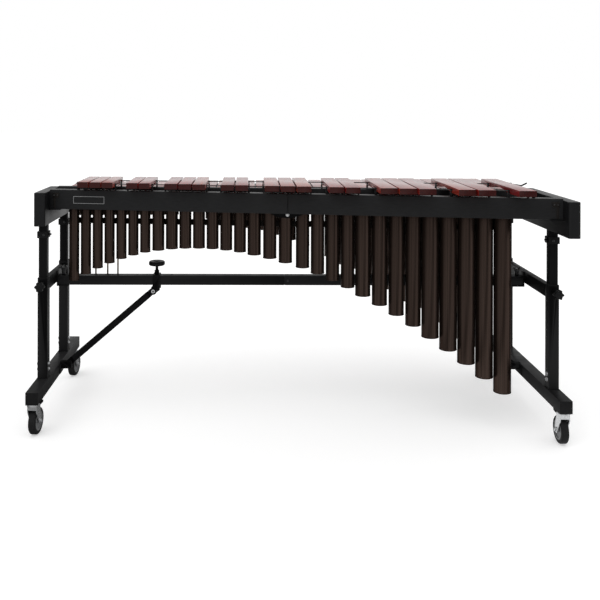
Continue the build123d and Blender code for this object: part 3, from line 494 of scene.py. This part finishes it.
# ---- casters
casterEases = []
for number in range(1, 5):
    casterEases += [
        ("caster_fork_%d" % number, 0.0006, 2), ("caster_tyre_%d" % number, 0.0006, 2),
        ("caster_hub_%d" % number, 0.0008, 2)]
easeAll(casterEases + [("brake_pedal_%d" % number, 0.0010, 2) for number in (1, 2)])
print("casters made")

# ---- keyboard frame
keyboardEases = [
    ("cheek_high", 0.0025, 3), ("cheek_low", 0.0025, 3), ("front_rails", 0.0022, 3),
    ("accidental_inner_rails", 0.0020, 2), ("natural_rails", 0.0020, 2), ("rail_brackets", 0.0006, 2),
    ("rail_joints", 0.0008, 2), ("cord_posts", 0.0004, 2),
]
easeAll(keyboardEases, {"cheek_high": blackWoodCross, "cheek_low": blackWoodCross})
print("keyboard frame made")

# ---- bars
barShape = {"edge": 0.0022, "segments": 3, "toneSeed": 11}


def toneBars(piece, seed):
    # A tone of its own for each bar, kept on its corners.
    draws = random.Random(seed)
    mesh = piece.data
    link = list(range(len(mesh.vertices)))

    def root(index):
        while link[index] != index:
            link[index] = link[link[index]]
            index = link[index]
        return index

    for edge in mesh.edges:
        first, second = root(edge.vertices[0]), root(edge.vertices[1])
        if first != second:
            link[second] = first
    tones = {}
    values = []
    for index in range(len(link)):
        start = root(index)
        if start not in tones:
            tones[start] = draws.random()
        values.append(tones[start])
    tone = mesh.attributes.new("barTone", "FLOAT", "POINT")
    tone.data.foreach_set("value", values)


for number, node in enumerate(("natural_bars_high", "natural_bars_low", "accidental_bars_high", "accidental_bars_low")):
    bars = softened(node, barShape["edge"], segments=barShape["segments"])
    toneBars(bars, barShape["toneSeed"] + number)
softened("accidental_cord", 0)
softened("natural_cord", 0)
print("bars made")

# ---- resonators
tubeNodes = ("front_tubes_high", "front_tubes_low", "back_tubes_high", "back_tubes_low")
easeAll([(node, 0.0005, 2) for node in (*tubeNodes, "tube_stops", "resonator_straps", "resonator_hangers")])
easeAll([("stay_rods", 0.0008, 2)])
print("resonators made")

# ---- fastenings, each modelled once at the origin with its face towards +Z
quarter = math.pi / 2
facingFront = (quarter, 0, 0)
facingBack = (-quarter, 0, 0)


def facingSide(side):
    return (0, side * quarter, 0)


def buttonScrew(name, radius, height):
    # A low domed head with a round socket.
    piece = primitive(name, "cylinder", vertices=24, radius=radius, depth=height, location=(0, 0, height / 2))
    only(piece)
    bpy.ops.object.mode_set(mode="EDIT")
    pickEdges(lambda edge: all(corner.co.z > height * 0.9 for corner in edge.verts))
    bpy.ops.mesh.bevel(offset=height * 0.55, segments=3, affect="EDGES")
    pickFaces(lambda face: face.normal.z > 0.99 and face.calc_center_median().z > height * 0.9)
    bpy.ops.mesh.inset(thickness=radius * 0.22)
    bpy.ops.mesh.inset(thickness=radius * 0.06)
    pushOut((0, 0, -height * 0.6))
    bpy.ops.object.mode_set(mode="OBJECT")
    return piece


def hexBolt(name, radius, height):
    # A hexagon head on a round washer.
    head = primitive(name, "cylinder", vertices=6, radius=radius, depth=height, location=(0, 0, height / 2 + 0.0012))
    only(head)
    bpy.ops.object.mode_set(mode="EDIT")
    pickFaces(lambda face: face.normal.z > 0.99)
    bpy.ops.mesh.inset(thickness=radius * 0.12)
    bpy.ops.transform.translate(value=(0, 0, height * 0.10))
    bpy.ops.mesh.inset(thickness=radius * 0.30)
    pushOut((0, 0, -height * 0.06))
    bpy.ops.object.mode_set(mode="OBJECT")
    washer = primitive(
        name + "Washer", "cylinder", vertices=28, radius=radius * 1.35, depth=0.0014, location=(0, 0, 0.0006))
    only(washer)
    bpy.ops.object.mode_set(mode="EDIT")
    pickEdges(lambda edge: all(corner.co.z > 0.001 for corner in edge.verts))
    bpy.ops.mesh.bevel(offset=0.0004, segments=2, affect="EDGES")
    bpy.ops.object.mode_set(mode="OBJECT")
    bpy.ops.object.select_all(action="DESELECT")
    washer.select_set(True)
    head.select_set(True)
    bpy.context.view_layer.objects.active = head
    bpy.ops.object.join()
    return head


def rivet(name, radius, height):
    # A shallow round head.
    piece = primitive(name, "uv_sphere", segments=14, ring_count=8, radius=radius, location=(0, 0, 0))
    only(piece)
    bpy.ops.object.mode_set(mode="EDIT")
    bpy.ops.mesh.select_all(action="SELECT")
    bpy.ops.mesh.bisect(plane_co=(0, 0, -radius * 0.12), plane_no=(0, 0, 1), clear_inner=True, use_fill=True)
    bpy.ops.mesh.select_all(action="SELECT")
    bpy.ops.transform.resize(value=(1, 1, height / radius), center_override=(0, 0, 0))
    bpy.ops.object.mode_set(mode="OBJECT")
    return piece


def ringAround(name, inner, outer, height):
    # A flat ring round +Z, spun from its own section with eased corners.
    piece = primitive(name, "plane", size=1, location=(0, 0, 0))
    piece.scale = (outer - inner, height, 1)
    piece.rotation_euler = (quarter, 0, 0)
    piece.location = ((inner + outer) / 2, 0, height / 2)
    only(piece)
    bpy.ops.object.transform_apply(location=True, rotation=True, scale=True)
    bpy.ops.object.mode_set(mode="EDIT")
    bpy.ops.mesh.select_mode(type="VERT")
    bpy.ops.mesh.select_all(action="SELECT")
    bpy.ops.mesh.bevel(offset=min(height, outer - inner) * 0.25, segments=2, affect="VERTICES")
    bpy.ops.mesh.select_all(action="SELECT")
    bpy.ops.mesh.delete(type="ONLY_FACE")
    bpy.ops.mesh.select_all(action="SELECT")
    bpy.ops.mesh.spin(steps=32, angle=2 * math.pi, center=(0, 0, 0), axis=(0, 0, 1))
    bpy.ops.mesh.select_all(action="SELECT")
    bpy.ops.mesh.remove_doubles(threshold=0.00001)
    bpy.ops.mesh.normals_make_consistent(inside=False)
    bpy.ops.object.mode_set(mode="OBJECT")
    return piece


def fasten(name, start, places, look, body, angle=35):
    piece = copyTo(start, places, name)
    smooth(piece, angle)
    dress(piece, look, body)
    return piece


trees = {}


def firstMeeting(node, start, heading):
    # Where a straight line first meets a node.
    if node not in trees:
        shape = frame["nodes"][node].data
        trees[node] = BVHTree.FromPolygons(
            [corner.co for corner in shape.vertices], [face.vertices for face in shape.polygons])
    return trees[node].ray_cast(Vector(start), Vector(heading))[0]


def faceAt(node, x, z, side=1, away=2.0):
    # Where a level line from the audience's side (or the player's) meets a node, and the slope there.
    spots = [firstMeeting(node, (x + shift, -away * side, z), (0, side, 0)) for shift in (-0.004, 0.004)]
    if None in spots:
        return None, 0.0
    return (spots[0].y + spots[1].y) / 2, math.atan2(spots[1].y - spots[0].y, 0.008)


# ---- name field, end latches and joint bolt on the front rail
railFront = {
    "field": (-0.885, -0.756, 0.875, 0.904), "fieldLine": 0.0016, "fieldProud": 0.0006,
    "latchSize": (0.026, 0.020, 0.003), "latchInset": 0.030, "latchDrop": 0.022, "latchScrew": 0.0032,
    "latchScrewHeight": 0.0018, "latchScrewGap": 0.007,
    "stripSize": (0.009, 0.046, 0.0016), "stripShift": (0.006, 0.030),
    "fieldEdge": 0.00015, "fieldLift": 0.0001, "jointBolt": 0.0075, "jointBoltHeight": 0.0030, "jointDrop": 0.006,
}
railLow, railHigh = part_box("front_rails")
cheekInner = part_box("cheek_low")[0].x


def plateOn(name, x, z, size, node="front_rails", side=1):
    # A small plate with eased edges lying on a rail's face.
    y, slope = faceAt(node, x, z, side)
    plate = primitive(name, "cube", size=1, location=(0, 0, 0))
    plate.scale = (size[0], size[2], size[1])
    plate.rotation_euler = (0, 0, slope)
    plate.location = (x, y - side * size[2] * 0.45, z)
    bpy.ops.object.transform_apply(location=True, rotation=True, scale=True)
    only(plate)
    bpy.ops.object.mode_set(mode="EDIT")
    bpy.ops.mesh.select_all(action="SELECT")
    bpy.ops.mesh.bevel(offset=size[2] * 0.28, segments=2, affect="EDGES")
    bpy.ops.object.mode_set(mode="OBJECT")
    return plate


left, right, low, high = railFront["field"]
fieldY, fieldSlope = faceAt("front_rails", (left + right) / 2, (low + high) / 2)
field = primitive("nameField", "plane", size=1, location=(0, 0, 0))
field.scale = (right - left, high - low, 1)
bpy.ops.object.transform_apply(location=True, rotation=True, scale=True)
only(field)
bpy.ops.object.mode_set(mode="EDIT")
bpy.ops.mesh.select_all(action="SELECT")
bpy.ops.mesh.inset(thickness=railFront["fieldLine"])
bpy.ops.mesh.delete(type="FACE")
bpy.ops.object.mode_set(mode="OBJECT")
proud = field.modifiers.new("proud", "SOLIDIFY")
proud.thickness = railFront["fieldProud"]
proud.offset = 1.0
edge = field.modifiers.new("edge", "BEVEL")
edge.width = railFront["fieldEdge"]
edge.segments = 2
applyAll(field)
field.rotation_euler = (quarter, 0, fieldSlope)
field.location = ((left + right) / 2, fieldY + railFront["fieldLift"], (low + high) / 2)
only(field)
bpy.ops.object.transform_apply(location=True, rotation=True, scale=True)
smooth(field, 35)
dress(field, lineMetal, "keyboard")

latches, latchScrews = [], []
for side in (-1, 1):
    x = side * (cheekInner - railFront["latchInset"])
    z = railHigh.z - railFront["latchDrop"]
    latches.append(plateOn("railLatch", x, z, railFront["latchSize"]))
    stripOut, stripDown = railFront["stripShift"]
    latches.append(plateOn("railLatchStrip", x + side * stripOut, z - stripDown, railFront["stripSize"]))
    y, slope = faceAt("front_rails", x, z)
    for shift in (-railFront["latchScrewGap"], railFront["latchScrewGap"]):
        latchScrews.append((x + shift, y - railFront["latchSize"][2] * 0.92, z, (quarter, 0, slope)))
bpy.ops.object.select_all(action="DESELECT")
for plate in latches:
    plate.select_set(True)
bpy.context.view_layer.objects.active = latches[0]
bpy.ops.object.join()
latches[0].name = "railLatches"
smooth(latches[0], 35)
dress(latches[0], strapMetal, "keyboard")
fasten("railLatchScrews", buttonScrew("latchScrew", railFront["latchScrew"], railFront["latchScrewHeight"]),
       latchScrews, darkSteel, "keyboard")

jointLow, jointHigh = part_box("rail_joints")
jointX = (jointLow.x + jointHigh.x) / 2
hoodZ = railLow.z - railFront["jointDrop"]
hoodY, hoodSlope = faceAt("rail_joints", jointX, hoodZ)
fasten("railJointBolt", hexBolt("jointBolt", railFront["jointBolt"] * 0.72, railFront["jointBoltHeight"]),
       [(jointX, hoodY, hoodZ, (quarter, 0, hoodSlope))], zinc, "keyboard")
print("front rail dressed")

# ---- rivets between the straps and the tubes
strapLook = {"rivetRadius": 0.0042, "rivetHeight": 0.0020, "heights": {"front": 0.792, "back": 0.812}}
rivets = []
for bank, strapHeight in strapLook["heights"].items():
    for half in ("high", "low"):
        for low, high in solidsOf("%s_tubes_%s" % (bank, half)):
            x = (low.x + high.x) / 2
            y, slope = faceAt("resonator_straps", x, strapHeight, -1) if bank == "back" else (None, 0.0)
            if bank == "front":
                # The front bank's strap is met from between the two banks.
                spot = firstMeeting("resonator_straps", (x, high.y + 0.05, strapHeight), (0, -1, 0))
                y = spot.y if spot else None
            if y is not None:
                rivets.append((x, y, strapHeight, (-quarter, 0, slope)))
fasten("strapRivets", rivet("strapRivet", strapLook["rivetRadius"], strapLook["rivetHeight"]), rivets,
       darkSteel, "keyboard", 50)
print("rivets:", len(rivets))

# ---- rims turned over at the lower end of every tube
rimLook = {"proud": 0.0007, "height": 0.0035, "inward": 0.0016}
for bank in tubeNodes:
    groups = {}
    for low, high in solidsOf(bank):
        radius = round((high.x - low.x) / 2, 4)
        groups.setdefault(radius, []).append(((low.x + high.x) / 2, (low.y + high.y) / 2, low.z))
    for number, (radius, places) in enumerate(sorted(groups.items()), start=1):
        ring = ringAround("tubeRim", radius - rimLook["inward"], radius + rimLook["proud"], rimLook["height"])
        fasten("%s_rims_%d" % (bank, number), ring, places, tubeMetal, "keyboard", 50)

# ---- sleeves of soft rubber on the cord's posts
sleeveLook = {
    "height": 0.014, "wall": 0.0012, "topGap": 0.008, "post": (0.0035, 0.012), "corner": 0.0016,
    "lip": 0.0008, "lipRise": 0.0006, "widestPost": 0.0045, "shortestPost": 0.015,
}
posts = [(low, high) for low, high in solidsOf("cord_posts")
         if high.x - low.x < sleeveLook["widestPost"] and high.z - low.z > sleeveLook["shortestPost"]]
sleeve = primitive("postSleeve", "cube", size=1, location=(0, 0, 0))
postWide, postLong = sleeveLook["post"]
sleeve.scale = (postWide + 2 * sleeveLook["wall"], postLong + 2 * sleeveLook["wall"], sleeveLook["height"])
only(sleeve)
bpy.ops.object.transform_apply(location=True, rotation=True, scale=True)
bpy.ops.object.mode_set(mode="EDIT")
pickEdges(lambda edge: abs(edge.verts[0].co.z - edge.verts[1].co.z) > sleeveLook["height"] * 0.5)
bpy.ops.mesh.bevel(offset=sleeveLook["corner"], segments=3, affect="EDGES")
pickFaces(lambda face: face.normal.z > 0.99)
bpy.ops.mesh.inset(thickness=sleeveLook["lip"])
bpy.ops.transform.translate(value=(0, 0, sleeveLook["lipRise"]))
bpy.ops.object.mode_set(mode="OBJECT")
sleevePlaces = [((low.x + high.x) / 2, (low.y + high.y) / 2, low.z + sleeveLook["height"] / 2) for low, high in posts
                if high.z - low.z > sleeveLook["height"] + sleeveLook["topGap"]]
fasten("postSleeves", sleeve, sleevePlaces, tyreRubber, "keyboard", 40)
print("sleeves:", len(sleevePlaces))

# ---- bolts of the stand
boltLook = {"radius": 0.0062, "height": 0.0042, "inset": 0.020, "socketRadius": 0.0052, "socketHeight": 0.0030}
sideBolts = []
for low, high in solidsOf("end_bars"):
    side = 1 if low.x > 0 else -1
    outer = high.x if side > 0 else low.x
    for y in (low.y + boltLook["inset"], high.y - boltLook["inset"]):
        sideBolts.append((outer, y, (low.z + high.z) / 2, facingSide(side)))
fasten("endBarBolts", hexBolt("endBarBolt", boltLook["radius"], boltLook["height"]), sideBolts,
       darkSteel, "base")
socketScrews = []
for low, high in solidsOf("leg_sockets"):
    for side in (-1, 1):
        y = low.y if side < 0 else high.y
        socketScrews.append(((low.x + high.x) / 2, y, (low.z + high.z) / 2, facingFront if side < 0 else facingBack))
fasten("socketScrews", buttonScrew("socketScrew", boltLook["socketRadius"], boltLook["socketHeight"]), socketScrews,
       darkSteel, "keyboard")

# ---- weld beads where the legs meet the feet
weldLook = {
    "width": 0.0040, "height": 0.0040, "lean": 0.012, "cuts": 5, "seed": 5, "wander": 0.0005, "skin": 0.0004,
    "sunk": 0.0004,
}
legBoxes = solidsOf("lower_legs")
legSize = legBoxes[0][1].x - legBoxes[0][0].x
bead = primitive("weldBead", "cube", size=1, location=(0, 0, 0))
bead.scale = (legSize + 2 * weldLook["width"], legSize + 2 * weldLook["width"], weldLook["height"])
only(bead)
bpy.ops.object.transform_apply(location=True, rotation=True, scale=True)
bpy.ops.object.mode_set(mode="EDIT")
pickFaces(lambda face: face.normal.z > 0.99)
shrunk = legSize / (legSize + 2 * weldLook["width"]) + weldLook["lean"]
bpy.ops.transform.resize(value=(shrunk, shrunk, 1))
bpy.ops.mesh.select_all(action="SELECT")
bpy.ops.mesh.subdivide(number_cuts=weldLook["cuts"])
bpy.ops.object.mode_set(mode="OBJECT")
draws = random.Random(weldLook["seed"])
legSkin, wander = legSize / 2 + weldLook["skin"], weldLook["wander"]
for corner in bead.data.vertices:
    if abs(corner.co.x) > legSkin or abs(corner.co.y) > legSkin:
        corner.co.x += draws.uniform(-wander, wander)
        corner.co.y += draws.uniform(-wander, wander)
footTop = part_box("foot_high")[1].z
beadPlaces = []
beadZ = footTop + weldLook["height"] / 2 - weldLook["sunk"]
for low, high in legBoxes:
    # The boss of the knob stands out on one side, so the leg's middle comes from its bush.
    bush = min(solidsOf("leg_bushes"), key=lambda pair: (pair[0] + pair[1] - low - high).length)
    beadPlaces.append(((bush[0].x + bush[1].x) / 2, (bush[0].y + bush[1].y) / 2, beadZ))
fasten("weldBeads", bead, beadPlaces, blackPaint, "base", 60)

# ---- two bolts through the foot of every leg, with their heads on the inside
legBoltLook = {"radius": 0.0058, "height": 0.0040, "rises": (0.034, 0.055)}
heads, nuts = [], []
for x, y, _ in beadPlaces:
    side = 1 if x > 0 else -1
    for rise in legBoltLook["rises"]:
        heads.append((x - side * legSize / 2, y, footTop + rise, facingSide(-side)))
        nuts.append((x + side * legSize / 2, y, footTop + rise, facingSide(side)))
fasten("legBoltHeads", hexBolt("legBoltHead", legBoltLook["radius"], legBoltLook["height"]), heads,
       zinc, "base")
fasten("legBoltNuts", hexBolt("legBoltNut", legBoltLook["radius"], legBoltLook["height"]), nuts,
       darkSteel, "base")

# ---- a ring and a cap on both ends of the braces' pins
pinLook = {"inner": 0.0036, "outer": 0.0080, "height": 0.0020, "sunk": 0.0014, "cap": 0.0040, "capHeight": 0.0016}
clampLow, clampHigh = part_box("brace_clamps")
ringPlaces = []
for joint in frame["joints"]:
    if joint["name"] in ("brace_high_swing", "brace_low_swing"):
        pinX, _, pinZ = joint["pos_m"]
        ringPlaces.append((pinX, clampLow.y + pinLook["sunk"], pinZ, facingFront))
        ringPlaces.append((pinX, clampHigh.y - pinLook["sunk"], pinZ, facingBack))
fasten("bracePinRings", ringAround("pinRing", pinLook["inner"], pinLook["outer"], pinLook["height"]), ringPlaces, zinc,
       "base", 40)
fasten("bracePinCaps", rivet("pinCap", pinLook["cap"], pinLook["capHeight"]), [
    (x, clampLow.y if facing == facingFront else clampHigh.y, z, facing) for x, _, z, facing in ringPlaces],
    darkSteel, "base", 50)

# ---- knob faces, caster rings and nuts: inner and outer radius and height, or radius and height
knobLook = {
    "ring": (0.0135, 0.0150, 0.0014), "ringSunk": 0.0006, "cap": (0.0125, 0.0020), "capSunk": 0.0001,
    "starCap": (0.0085, 0.0018),
}
casterLook = {"race": (0.0170, 0.0238, 0.0034), "raceDrop": 0.0058, "nut": (0.0070, 0.0050), "nutReach": 0.0190}
for end in ("high", "low"):
    low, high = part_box("brace_knob_" + end)
    middle = (low + high) / 2
    fasten("braceKnobRing_" + end, ringAround("knobRing", *knobLook["ring"]),
           [(middle.x, middle.y, high.z - knobLook["ringSunk"])], blackPlastic, "brace_knob_" + end)
    fasten("braceKnobCap_" + end, rivet("knobCap", *knobLook["cap"]),
           [(middle.x, middle.y, high.z - knobLook["capSunk"])], blackPlastic, "brace_knob_" + end, 50)
for number in range(1, 5):
    low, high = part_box("leg_knob_%d" % number)
    middle = (low + high) / 2
    front = number % 2 == 1
    y = low.y if front else high.y
    facing = facingFront if front else facingBack
    fasten("legKnobCap_%d" % number, rivet("starCap", *knobLook["starCap"]), [(middle.x, y, middle.z, facing)],
           blackPlastic, "leg_knob_%d" % number, 50)

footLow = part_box("foot_high")[0]
for number in range(1, 5):
    tyreLow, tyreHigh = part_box("caster_tyre_%d" % number)
    wheel = (tyreLow + tyreHigh) / 2
    pivot = next(joint for joint in frame["joints"] if joint["name"] == "caster_swivel_%d" % number)["pos_m"]
    axle = next(joint for joint in frame["joints"] if joint["name"] == "wheel_turn_%d" % number)
    along = Vector(axle["axis"]).normalized()
    turn = math.atan2(along.y, along.x)
    fasten("casterRace_%d" % number, ringAround("raceRing", *casterLook["race"]),
           [(pivot[0], pivot[1], footLow.z - casterLook["raceDrop"])], zinc, "caster_fork_%d" % number, 40)
    nuts = []
    for side in (-1, 1):
        spot = wheel + along * side * casterLook["nutReach"]
        nuts.append((spot.x, spot.y, spot.z, (0, side * quarter, turn)))
    fasten("axleNuts_%d" % number, hexBolt("axleNut", *casterLook["nut"]), nuts,
           zinc, "caster_fork_%d" % number)
print("fastenings made")

# ---- floor, light and camera
studio = {
    "floorSize": 60.0, "floorColour": 0.80, "floorMirror": 0.10, "floorGlow": 0.43, "skyStrength": 0.54,
    # Each lamp's aim, strength and spread in degrees.
    "keySun": ((0.30, 0.46, -1.0), 0.98, 60), "fillSun": ((-0.75, -0.35, -1.0), 0.38, 70), "lampHeight": 4,
    "sensorWidth": 36.0, "clip": (0.05, 200.0),
    "camera": (-0.1725, -3.2866, 1.2764), "roll": -0.0019, "lens": 47.02, "shift": (0.0830, -0.3265),
    # What the glossy surfaces mirror, by compass angle from the audience's side towards the bass end.
    "panels": [(-180, 0.95), (-150, 0.95), (-130, 0.16), (-75, 0.16), (-55, 0.66), (-12, 0.66), (8, 0.90),
               (22, 0.24), (36, 0.24), (48, 1.0), (88, 1.0), (108, 0.16), (130, 0.16), (150, 0.95), (180, 0.95)],
}


def panelLevel(made, way):
    # The brightness of the studio's panels in the direction of a vector.
    parts = addNode(made, "ShaderNodeSeparateXYZ")
    wire(made, way, parts.inputs["Vector"])
    away = addNode(made, "ShaderNodeMath", operation="MULTIPLY")
    away.inputs[1].default_value = -1.0
    wire(made, parts.outputs["Y"], away.inputs[0])
    compass = addNode(made, "ShaderNodeMath", operation="ARCTAN2")
    wire(made, parts.outputs["X"], compass.inputs[0])
    wire(made, away.outputs[0], compass.inputs[1])
    around = between(made, compass.outputs[0], 0.0, 1.0, -math.pi, math.pi)
    return tint(made, around, [(0.5 + angle / 360, (level,) * 3) for angle, level in studio["panels"]])


def rayKind(made, *kinds):
    ray = addNode(made, "ShaderNodeLightPath")
    met = ray.outputs[kinds[0]]
    for kind in kinds[1:]:
        most = addNode(made, "ShaderNodeMath", operation="MAXIMUM")
        wire(made, met, most.inputs[0])
        wire(made, ray.outputs[kind], most.inputs[1])
        met = most.outputs[0]
    return met


def grey(level):
    return (level,) * 3


floor = primitive("floorSheet", "plane", size=studio["floorSize"], location=(0, 0, 0))
only(floor)
bpy.ops.object.mode_set(mode="EDIT")
bpy.ops.mesh.select_all(action="SELECT")
bpy.ops.mesh.subdivide(number_cuts=3)
bpy.ops.object.mode_set(mode="OBJECT")
floorPaper = bpy.data.materials.new("floorPaper")
floorPaper.use_nodes = True
for node in list(floorPaper.node_tree.nodes):
    floorPaper.node_tree.nodes.remove(node)
# Glossy surfaces mirror the panels in the floor as well, all others see plain paper.
glossy = rayKind(floorPaper, "Is Glossy Ray")
spot = addNode(floorPaper, "ShaderNodeTexCoord")
paper = addNode(floorPaper, "ShaderNodeBsdfDiffuse")
paperColour = blendColour(floorPaper, glossy, grey(studio["floorColour"]), grey(studio["floorMirror"]))
wire(floorPaper, paperColour, paper.inputs["Color"])
glow = addNode(floorPaper, "ShaderNodeEmission")
shown = blendColour(floorPaper, rayKind(floorPaper, "Is Camera Ray"), grey(0.0), grey(studio["floorGlow"]))
mirroredFloor = blendColour(floorPaper, glossy, shown, panelLevel(floorPaper, spot.outputs["Object"]))
wire(floorPaper, mirroredFloor, glow.inputs["Color"])
both = addNode(floorPaper, "ShaderNodeAddShader")
wire(floorPaper, paper.outputs[0], both.inputs[0])
wire(floorPaper, glow.outputs[0], both.inputs[1])
out = addNode(floorPaper, "ShaderNodeOutputMaterial")
wire(floorPaper, both.outputs[0], out.inputs["Surface"])
floor.data.materials.append(floorPaper)

sky = bpy.data.worlds.new("studioSky")
bpy.context.scene.world = sky
sky.use_nodes = True
heading = addNode(sky, "ShaderNodeTexCoord")
ambient = blendColour(sky, rayKind(sky, "Is Camera Ray", "Is Transmission Ray"), grey(studio["skyStrength"]), grey(1.0))
mirrored = blendColour(sky, rayKind(sky, "Is Glossy Ray"), ambient, panelLevel(sky, heading.outputs["Generated"]))
wire(sky, mirrored, sky.node_tree.nodes["Background"].inputs["Color"])


def softSun(name, aim, strength, spreadAngle):
    lamp = bpy.data.lights.new(name, "SUN")
    lamp.energy = strength
    lamp.angle = math.radians(spreadAngle)
    held = bpy.data.objects.new(name, lamp)
    bpy.context.scene.collection.objects.link(held)
    held.location = (0, 0, studio["lampHeight"])
    held.rotation_euler = Vector(aim).to_track_quat("-Z", "Y").to_euler()


softSun("keySun", *studio["keySun"])
softSun("fillSun", *studio["fillSun"])

eye = bpy.data.cameras.new("studioCamera")
eye.lens = studio["lens"]
eye.sensor_width = studio["sensorWidth"]
eye.shift_x, eye.shift_y = studio["shift"]
eye.clip_start, eye.clip_end = studio["clip"]
holder = bpy.data.objects.new("studioCamera", eye)
bpy.context.scene.collection.objects.link(holder)
holder.location = studio["camera"]
holder.rotation_euler = (math.radians(90), studio["roll"], 0)
bpy.context.scene.camera = holder
bpy.context.scene.view_settings.view_transform = "Standard"
print("studio made")
